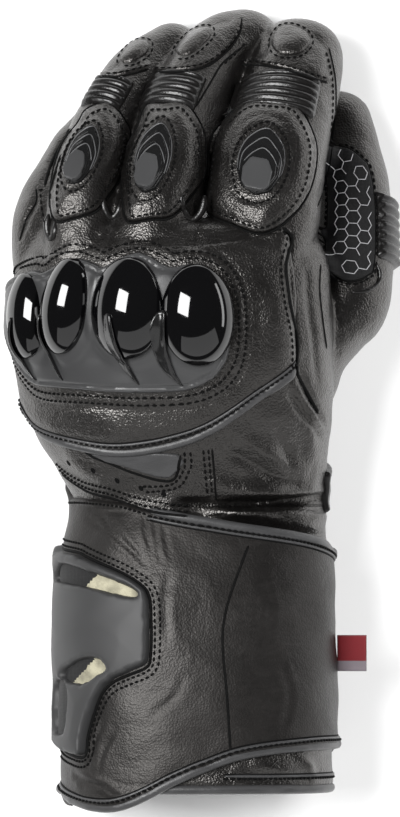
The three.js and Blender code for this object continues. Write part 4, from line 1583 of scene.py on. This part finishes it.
def build_net(loop):
    """A worn honeycomb of thin raised lines inside a loop."""
    size = 2.6
    tall = size * math.sqrt(3)
    turns = [(math.cos(k * math.pi / 3), math.sin(k * math.pi / 3)) for k in range(4)]
    parts = []
    low, high = loop.min(0), loop.max(0)
    for column, u in enumerate(np.arange(low[0] - size, high[0] + size, size * 1.5)):
        for v in np.arange(low[1] - size, high[1] + size, tall):
            middle = np.array([u, v + (column % 2) * tall / 2])
            corners = [middle + size * np.array(turn) for turn in turns]
            for a, b in zip(corners, corners[1:]):
                line = np.linspace(a, b, 4)
                worn = math.sin(a[0] * 1.7 + b[1] * 0.9) + math.sin(a[1] * 0.6 - b[0] * 0.5) > 1.3
                if inside(line, loop).all() and not worn:
                    points, out = on_cover(THUMB, line, 0.05)
                    parts.append(cord(points, 0.17, 5, out))
    points, faces = merged(parts)
    piece("thumb_net", points, faces, "net")


# The turned edges round the gaps between the fingers' roots, as seen from above.
WEBS = {
    "middle": [(-34.6, 75.5), (-34.2, 71.5), (-31.7, 67.7), (-29, 70.6), (-28.4, 75)],
    "inner": [(-6.6, 76.5), (-6.2, 71.6), (-2.9, 67), (0.9, 70.8), (1.6, 76)],
    "outer": [(-54.2, 69.5), (-54.9, 64.8), (-53.3, 60.1), (-51.7, 63.2), (-51.9, 67)],
}


def build_webs():
    """Rolled edges round the gaps between the fingers' roots."""
    for name, line in WEBS.items():
        piping(f"web_binding_{name}", PLAN, line, 1.35, -0.4, 1.0, "soft", drop=3.5)


# The wrist

# The flap: angles round the gauntlet, and the y of its lower and upper edge there.
FLAP = [
    [-30, -121, -54], [0, -121.3, -51.5], [40, -121.5, -46.5], [76, -124.6, -42.5], [97, -133, -39],
    [112, -139.8, -36.5], [125, -143.2, -34], [140, -143, -33], [156, -141, -32.5], [180, -138, -32.5],
    [205, -136, -34],
]
# Creases of the flap: the line as seen from above, its depth and its width.
PULLS = [
    ([(-23.4, -53.6), (-31, -46), (-36.7, -39.2)], 0.7, 0.8),
    ([(-20, -57), (-28, -47.5), (-32.5, -41)], 0.6, 0.75),
    ([(-17, -53.6), (-20, -45), (-21, -37)], 0.6, 0.75),
    ([(-14.4, -56), (-16.6, -46), (-17.6, -38.5)], 0.5, 0.7),
    ([(-26.5, -51.5), (-34, -45), (-41.5, -40.5)], 0.45, 0.8),
    ([(-11, -55), (-13, -47), (-14, -42)], 0.35, 0.8),
    ([(-46, -132), (-38, -135.5), (-31, -138.6)], 1.3, 1.2),
    ([(-44, -136), (-37, -138.2), (-28, -139)], 1.0, 1.0),
    ([(-41, -129), (-38.5, -120), (-35, -112)], 0.5, 0.9),
    ([(-37, -130), (-35, -122), (-31, -115)], 0.35, 0.9),
    ([(-12, -60), (-13, -72), (-12, -84)], 0.3, 1.4),
    ([(-6, -96), (-10, -104), (-18, -110)], 0.25, 1.2),
    ([(22, -60), (26, -72), (24, -84)], 0.22, 1.6),
    ([(30, -92), (33, -104), (30, -116)], 0.22, 1.6),
]
# The flap's seam down the middle of the gauntlet, and the guard's plate and its openings, as seen from above.
FLAP_SEAM = [
    (17.6, -49.3), (14.8, -56.5), (10.4, -69.1), (8.3, -79.6), (8.6, -90.7), (9.7, -102.6), (11.2, -124.6),
]
GUARD_EDGE = [
    (-53, -51), (-47, -52.3), (-42.8, -54), (-32.4, -58.3), (-23.4, -63), (-19.6, -67.5), (-18.8, -76),
    (-19.2, -89), (-20.6, -92.5), (-27, -95.1), (-33.2, -98), (-37.1, -102.3), (-40.3, -109.5),
    (-42.4, -117.8), (-43.4, -124.5), (-49, -124), (-54, -121), (-57.5, -115), (-58.5, -95), (-58, -70),
    (-56.5, -54),
]
GUARD_HOLES = [
    [
        (-55.8, -60.5), (-50, -56.5), (-40, -60.2), (-30, -64), (-23.2, -67.4), (-32, -66.2), (-44, -63.2),
        (-52, -61.6),
    ],
    [
        (-49.6, -96.2), (-46, -92.6), (-41.8, -90.6), (-37.2, -90.6), (-34.6, -93.4), (-37.8, -95.2),
        (-41.4, -97.8), (-44.2, -98.4),
    ],
    [(-52.8, -99.4), (-48.2, -99.6), (-48, -110), (-49.2, -116.4), (-53.6, -116), (-53, -108)],
]


def build_flap():
    """The closing flap, sewn along the wrist on the little finger's side, with its rolled edges."""
    outline = HAND.strip(FLAP)
    pulled = [(spline(HAND.domain(line), 1.5, False), deep, wide) for line, deep, wide in PULLS]

    def height(uv, depth):
        pulls = np.zeros(len(uv))
        for line, deep, wide in pulled:
            near, along = nearest(uv, line)
            fade = np.sin(np.clip(along, 0.02, 0.98) * math.pi) ** 0.6
            swell = 0.55 * np.exp(-(((near - 2.1 * wide) / wide) ** 2))
            pulls += fade * deep * (swell - np.exp(-((near / wide) ** 2)))
        slow = 0.25 * np.sin(uv[:, 0] * 0.16 + 1.2 * np.sin(uv[:, 1] * 0.05)) * np.sin(uv[:, 1] * 0.11)
        return rounded(depth, 1.4, -0.2, sizes().flap) + pulls + slow * np.clip(depth / 8, 0, 1)

    sheet = laid(HAND, outline, height, 1.35, 1.4)
    laid_piece("flap_leather", sheet, "fine", ["wrist_flap"])
    SEWING.seam(HAND, HAND.domain(FLAP_SEAM), thick=0.5)
    top = edge_of(FLAP, 2, -30, 114)
    binding("top_binding", top + [0, -0.2], -1.0, ["flap_binding_top"])
    SEWING.seam(HAND, top + [0, -3.5], thick=0.3)
    low = edge_of(FLAP, 1)
    binding("bottom_binding", low + [0, 0.2], 1.0, ["flap_binding_bottom"])
    SEWING.seam(HAND, low + [0, 3.5], thick=0.3)
    SEWING.row(HAND, edge_of(FLAP, 2, 110, 200) + [0, -1.6])


def guard_outline():
    """The plate's edge on the mantle: its seen part, and the part that wraps under on the outer side."""
    seen = HAND.domain([p for p in GUARD_EDGE if p[0] > -56], 5.0)
    wrapped = HAND.strip([[180, -120, -51.5], [196, -115, -54]])
    return np.vstack([seen, wrapped])


def paint_shade_on_foam(made):
    """Painted shade: dark cloth over the outer two fifths of a bed of foam, up to a slanting edge, where the
    opening lies in shadow.
    """
    made.data.materials.append(FINISHES["cloth"])
    points, faces = arrays(made.data)
    low, high = points[:, 0].min(), points[:, 0].max()
    middles = middles_of(points, faces)
    edge = low + 0.4 * (high - low) + 0.9 * (middles[:, 1] - middles[:, 1].mean())
    made.data.polygons.foreach_set("material_index", (middles[:, 0] < edge).astype(int).tolist())


def build_guard():
    """The moulded plate, its slit and openings with foam behind, and its sewn border."""
    outline = guard_outline()
    holes = [HAND.domain(hole, 5.0) for hole in GUARD_HOLES]

    def height(uv, depth):
        return rounded(depth, 1.6, 1.0, sizes().guard - 1.4) + 0.8 * np.clip(depth / 12, 0, 1)

    # The beds behind the openings: foam whose shaded end is painted as dark cloth, and dark cloth all through
    # the third opening, painted shade in the slot.
    for index, (hole, finish) in enumerate(zip(holes, ("foam", "foam", "cloth"))):
        grown = inset(spline(hole, 1.0), -1.4)
        bed = laid(HAND, grown, lambda uv, depth: rounded(depth, 0.6, 2.2, 3.8), 1.1, 0.6, sharp=True)
        replaces = ["wrist_guard_foam"] if index == 0 else []
        made = laid_piece(f"guard_foam_{index + 1}", bed, finish, replaces, cover=False)
        if finish == "foam":
            paint_shade_on_foam(made)
    sheet = laid(HAND, outline, height, 1.1, 1.6, holes, step=1.0, soften=14)
    laid_piece("guard_plate", sheet, "plate", ["wrist_guard"])
    loop = spline(outline, 1.0)
    limit = HAND.domain([(-55, -60)])[0][0]
    for by, draw in ((-0.5, "seam"), (-1.9, "row"), (-3.9, "row")):
        line = inset(loop, by)
        line = line[line[:, 0] > limit]
        start = int(np.argmax(np.linalg.norm(np.roll(line, 1, axis=0) - line, axis=1)))
        line = even(np.roll(line, -start, axis=0), 0.8)
        if draw == "seam":
            SEWING.seam(HAND, line, thick=0.6, smooth=False)
        else:
            SEWING.row(HAND, line, smooth=False)


def build_wrist_details():
    """The strap, the grey insert, the thread over the wrist and round the hem, the holes and the tag."""
    strap = HAND.strip([[-100, -37, -19], [-20, -37, -19], [8, -38, -23]])

    def band(uv, depth):
        return rounded(depth, 0.9, -0.3, 2.0)

    def cushion(uv, depth):
        return rounded(depth, 0.8, -0.2, 0.9)

    sheet = laid(HAND, strap, band, 1.6, 0.9, sharp=True)
    laid_piece("strap_leather", sheet, "soft", ["wrist_strap"])
    insert = HAND.domain([(-40.5, -16.5), (-26, -21.6), (-14.4, -25), (-9.4, -23.8), (-7.9, -16.5)], 1.0)
    laid_piece("insert_leather", laid(HAND, insert, cushion, 1.2, 0.8), "satin", ["back_insert"])
    around = HAND.domain([(-42, -15.9), (-26.6, -22.4), (-14.4, -26), (-9, -24.9), (-7, -17)], 1.0)
    SEWING.seam(HAND, around, thick=0.55)
    for shift in (0, 2.2):
        corner = [(-5.6 + shift, -15.9), (-5.9 + shift, -22.3)]
        corner += [(-10.6 + shift, -27.6 - shift / 2), (-21.6, -28.3 - shift)]
        SEWING.row(HAND, HAND.domain(corner, 1.0))
    wrist = [(-51.5, -22.3), (-42.8, -28.4), (-32.4, -31.2), (-22.7, -34.4), (-12.6, -36.4), (-4, -37.4)]
    seam = HAND.domain(wrist, 1.0)
    SEWING.seam(HAND, seam + [0, -1.4], thick=0.5)
    SEWING.row(HAND, seam)
    SEWING.row(HAND, seam + [0, 2.2])
    mouth = np.array([[(90 - angle) * HAND.pitch, -132.7] for angle in range(82, -70, -6)])
    SEWING.row(HAND, mouth, lift=0.3, thick=0.5)
    piping("hem_rim", HAND, mouth + [0, 0.9], 0.55, 0.2, 1.5)
    SEWING.seam(HAND, mouth + [0, 1.6], thick=0.3)
    build_holes([(-47.7, -19.8), (-38.7, -22.5), (-30.2, -26.1), (-21.6, -28.8), (-13.3, -31)])
    build_tag()


def build_holes(places):
    """Small punched holes, shown as dark dots with a rolled rim: the dots are painted shade in the holes, over
    the dark lining.
    """
    parts = []
    sides, radius = 10, 0.75
    circle = [(math.cos(a), math.sin(a)) for a in np.arange(sides) * 2 * math.pi / sides]
    for spot in HAND.domain(places, 1.0):
        ring = spot + radius * np.array(circle)
        points, out = on_cover(HAND, ring, 0.02)
        parts.append(cord(points, 0.3, 6, out, True, 0.8))
        # The dark dot: painted shade inside the hole.
        middle = points.mean(0) + out.mean(0) * 0.12
        parts.append((np.vstack([points, middle]), [[k, (k + 1) % sides, sides] for k in range(sides)]))
    points, faces = merged(parts)
    piece("vent_holes", points, faces, "thread")


def build_tag():
    """The cloth tag: a thin folded strip with one red band."""
    low, high = TAG_CORNER + [-1.0, 0.2, 0.1], TAG_CORNER + [9.6, 13.2, 1.1]
    across, up = 12, 14
    parts = []
    for side in (0, 1):
        u, v = np.meshgrid(np.linspace(0, 1, across + 1), np.linspace(0, 1, up + 1), indexing="ij")
        curl = 0.5 * np.sin(u * 2.6) * (0.4 + 0.6 * v)
        pinch = (np.abs(2 * u - 1) ** 8 + np.abs(2 * v - 1) ** 8) / 2
        x, y = low[0] + u * (high[0] - low[0]), low[1] + v * (high[1] - low[1])
        z = (high[2] if side else low[2]) + curl - (0.35 if side else -0.05) * pinch
        points = np.stack([x, y, z], -1).reshape(-1, 3)
        faces = []
        for i in range(across):
            for j in range(up):
                a, b = i * (up + 1) + j, (i + 1) * (up + 1) + j
                faces.append([a, b, b + 1, a + 1] if side else [a, a + 1, b + 1, b])
        parts.append((points, faces))
    rim = [i * (up + 1) for i in range(across + 1)]
    rim += [across * (up + 1) + j for j in range(1, up + 1)]
    rim += [i * (up + 1) + up for i in range(across - 1, -1, -1)] + [j for j in range(up - 1, 0, -1)]
    points, faces = merged(parts)
    count = (across + 1) * (up + 1)
    for a, b in zip(rim, rim[1:] + rim[:1]):
        faces.append([a, b, b + count, a + count])
    made = piece("tag_cloth", points, faces, "tag", ["side_tag"])
    made.data.materials.append(FINISHES["red"])
    middles = middles_of(points, faces)
    share = (middles[:, 1] - low[1]) / (high[1] - low[1])
    made.data.polygons.foreach_set("material_index", [int(0.28 < s < 0.98) for s in share])


# The seam down the side of the hand, from the index finger's root towards the thumb.
SIDE_SEAM = [(29.5, 64.4), (32.8, 60.8), (31.3, 54.7), (30.6, 49.3), (32, 37.8), (34.6, 24.1), (34.6, 13)]
# Loose seams and loose rows of stitches: the line as seen from above and how thick it is.
LOOSE_SEAMS = [
    ([*SIDE_SEAM, (38, 6), (42.4, -2)], 0.8),
    ([(43.2, 51.5), (42.8, 42.5), (43.9, 31.7), (45.4, 21.2)], 0.4),
    ([(4.3, -14.5), (5, -22.3), (5.8, -33.1)], 0.4),
    ([(46.4, 130), (48.6, 119), (48.8, 108), (47.8, 96), (46, 84), (42, 72)], 0.4),
    ([(-1.6, 108), (3.2, 116), (8, 124), (15.6, 130.5)], 0.4),
    (LITTLE_SEAMS[0], 0.6),
    ([(-49.6, 91), (-51.8, 84.4), (-53.6, 77.3), (-53.7, 71.3)], 0.6),
    (LITTLE_SEAMS[1], 0.4),
]
LOOSE_ROWS = [
    (np.array(SIDE_SEAM) + [-1.6, 0], 0.46),
    ([(3, -15), (3.6, -22.3), (4.4, -31.5)], 0.46),
    ([(1.2, -15.2), (1.8, -22.3), (2.6, -31)], 0.46),
    ([(45.5, 128), (47.6, 119), (47.8, 108), (46.8, 98)], 0.46),
    ([(8.8, 124), (13, 128), (17.4, 133)], 0.46),
    ([(-58, 78.4), (-54.6, 78.8)], 0.4),
    ([(-57.4, 77), (-56.8, 71), (-55.6, 66)], 0.4),
]


def build_seams():
    """The loose seams of the hand, the fingers and the gauntlet, and then all the thread."""
    for line, thick in LOOSE_SEAMS:
        SEWING.seam(PLAN, line, thick)
    for line, thick in LOOSE_ROWS:
        SEWING.row(PLAN, line, thick=thick)
    points, faces = merged(SEWING.stitches)
    piece("stitches", points, faces, "thread")
    points, faces = merged(SEWING.seams)
    piece("seams", points, faces, "thread")


# The studio


def soft_box(name, place, target, width, height, power):
    """A rectangular light that faces the target. Sizes are in metres and the power in watts."""
    light = bpy.data.lights.new(name, "AREA")
    light.shape = "RECTANGLE"
    light.size, light.size_y = width, height
    light.energy = power
    made = bpy.data.objects.new(name, light)
    bpy.context.scene.collection.objects.link(made)
    made.location = place
    made.rotation_mode = "QUATERNION"
    made.rotation_quaternion = (Vector(target) - Vector(place)).to_track_quat("-Z", "Y")
    return made


def build_studio():
    """The pale floor, a large light over each side, a low card for the domes' reflections, and the camera."""
    scene = bpy.context.scene
    floor = bpy.data.meshes.new("floor")
    size = 4.0
    corners = [(-size, -size, 0), (size, -size, 0), (size, size, 0), (-size, size, 0)]
    floor.from_pydata(corners, [], [(0, 1, 2, 3)])
    ground = bpy.data.objects.new("floor", floor)
    scene.collection.objects.link(ground)
    paper = Finish("floor_paper", colours().floor, 0.9)
    fibres = paper.texture("Noise", 60, Detail=4.0)
    floor.materials.append(paper.set(Normal=paper.bump(fibres.outputs["Fac"], 0.05, 0.2)))
    world = bpy.data.worlds.new("studio")
    world.use_nodes = True
    world.node_tree.nodes["Background"].inputs["Color"].default_value = (1, 1, 1, 1)
    world.node_tree.nodes["Background"].inputs["Strength"].default_value = 0.06
    scene.view_settings.view_transform = "Standard"
    scene.world = world
    level = 0.04
    target = (0, 0, level)
    soft_box("left_box", (-0.76, 0.2, 1.33), target, 0.7, 0.78, 34)
    soft_box("low_card", (0.25, -1.4, 0.9), target, 3.3, 1.25, 12)
    soft_box("right_box", (1.6, 0.3, 0.42), target, 1.5, 0.22, 5)
    fill = soft_box("floor_fill", (1.3, 0.3, 2.0), target, 1.5, 1.5, 54)
    fill.visible_glossy = False
    middle = np.array([0.0, -0.2, 0.0]) * MM + SHIFT
    lens = bpy.data.cameras.new("camera")
    camera = bpy.data.objects.new("camera", lens)
    scene.collection.objects.link(camera)
    # the camera looks straight down from far, and a height of seen fills the picture at the glove's level
    far, seen, sensor = 5.0, 0.2941, 36
    lens.sensor_width = sensor
    lens.lens = sensor * (far - level) / seen
    lens.clip_end = 20
    camera.location = (middle[0], middle[1], far)
    scene.camera = camera


# Operators, panel and registration


class GLOVE_OT_skin(bpy.types.Operator):
    """Make the finishes, the leather skin of hand, fingers and gauntlet, its lining and its rolled hem"""

    bl_idname = "glove.skin"
    bl_label = "Leather skin"

    def execute(self, context):
        build_skin()
        return {"FINISHED"}


class GLOVE_OT_back_panel(bpy.types.Operator):
    """Lay the padded panel on the back of the hand and bind its lower edge"""

    bl_idname = "glove.back_panel"
    bl_label = "Back panel"

    def execute(self, context):
        build_panel()
        return {"FINISHED"}


class GLOVE_OT_knuckle_frame(bpy.types.Operator):
    """Mould the knuckle frame with a lip round each dome"""

    bl_idname = "glove.knuckle_frame"
    bl_label = "Knuckle frame"

    def execute(self, context):
        build_frame()
        return {"FINISHED"}


class GLOVE_OT_knuckle_domes(bpy.types.Operator):
    """Set the four polished domes in the frame, and lap the fins over them"""

    bl_idname = "glove.knuckle_domes"
    bl_label = "Knuckle domes"

    def execute(self, context):
        build_domes()
        build_fins()
        return {"FINISHED"}


class GLOVE_OT_fingers(bpy.types.Operator):
    """Lay the pads, sliders, ribs, caps and ovals on the fingers, and bind the gaps between them"""

    bl_idname = "glove.fingers"
    bl_label = "Finger pads and sliders"

    def execute(self, context):
        build_finger_pads()
        build_webs()
        return {"FINISHED"}


class GLOVE_OT_thumb(bpy.types.Operator):
    """Lay the ribs, the cloth panel, its net and the piping on the thumb"""

    bl_idname = "glove.thumb"
    bl_label = "Thumb"

    def execute(self, context):
        build_thumb()
        return {"FINISHED"}


class GLOVE_OT_flap(bpy.types.Operator):
    """Wrap the closing flap round the gauntlet, with its seam and its bindings"""

    bl_idname = "glove.flap"
    bl_label = "Closing flap"

    def execute(self, context):
        build_flap()
        return {"FINISHED"}


class GLOVE_OT_guard(bpy.types.Operator):
    """Mould the wrist guard over its foam"""

    bl_idname = "glove.guard"
    bl_label = "Wrist guard"

    def execute(self, context):
        build_guard()
        return {"FINISHED"}


class GLOVE_OT_wrist(bpy.types.Operator):
    """Add the strap, the insert, the wrist's stitches, the punched holes and the tag"""

    bl_idname = "glove.wrist"
    bl_label = "Wrist details"

    def execute(self, context):
        build_wrist_details()
        return {"FINISHED"}


class GLOVE_OT_seams(bpy.types.Operator):
    """Sew the loose seams and gather all stitches"""

    bl_idname = "glove.seams"
    bl_label = "Seams and stitches"

    def execute(self, context):
        build_seams()
        return {"FINISHED"}


class GLOVE_OT_studio(bpy.types.Operator):
    """Set up the floor, the soft lights and the camera"""

    bl_idname = "glove.studio"
    bl_label = "Studio"

    def execute(self, context):
        build_studio()
        return {"FINISHED"}


OPERATORS = (
    GLOVE_OT_skin,
    GLOVE_OT_back_panel,
    GLOVE_OT_knuckle_frame,
    GLOVE_OT_knuckle_domes,
    GLOVE_OT_fingers,
    GLOVE_OT_thumb,
    GLOVE_OT_flap,
    GLOVE_OT_guard,
    GLOVE_OT_wrist,
    GLOVE_OT_seams,
    GLOVE_OT_studio,
)


class GLOVE_PT_panel(bpy.types.Panel):
    """Sizes, colours and building steps of the glove"""

    bl_idname = "GLOVE_PT_panel"
    bl_label = "Motorcycle glove"
    bl_space_type = "VIEW_3D"
    bl_region_type = "UI"
    bl_category = "Glove"

    def draw(self, context):
        for settings in (context.scene.glove_sizes, context.scene.glove_colours):
            column = self.layout.column(align=True)
            for name in settings.__annotations__:
                column.prop(settings, name)
        column = self.layout.column(align=True)
        for made in OPERATORS:
            column.operator(made.bl_idname)


CLASSES = (GloveSizes, GloveColours, *OPERATORS, GLOVE_PT_panel)


def register():
    for made in CLASSES:
        bpy.utils.register_class(made)
    bpy.types.Scene.glove_sizes = bpy.props.PointerProperty(type=GloveSizes)
    bpy.types.Scene.glove_colours = bpy.props.PointerProperty(type=GloveColours)


def unregister():
    del bpy.types.Scene.glove_colours
    del bpy.types.Scene.glove_sizes
    for made in reversed(CLASSES):
        bpy.utils.unregister_class(made)


def main():
    register()
    bpy.ops.glove.skin()
    bpy.ops.glove.back_panel()
    bpy.ops.glove.knuckle_frame()
    bpy.ops.glove.knuckle_domes()
    bpy.ops.glove.fingers()
    bpy.ops.glove.thumb()
    bpy.ops.glove.flap()
    bpy.ops.glove.guard()
    bpy.ops.glove.wrist()
    bpy.ops.glove.seams()
    bpy.ops.glove.studio()


if __name__ == "__main__":
    main()
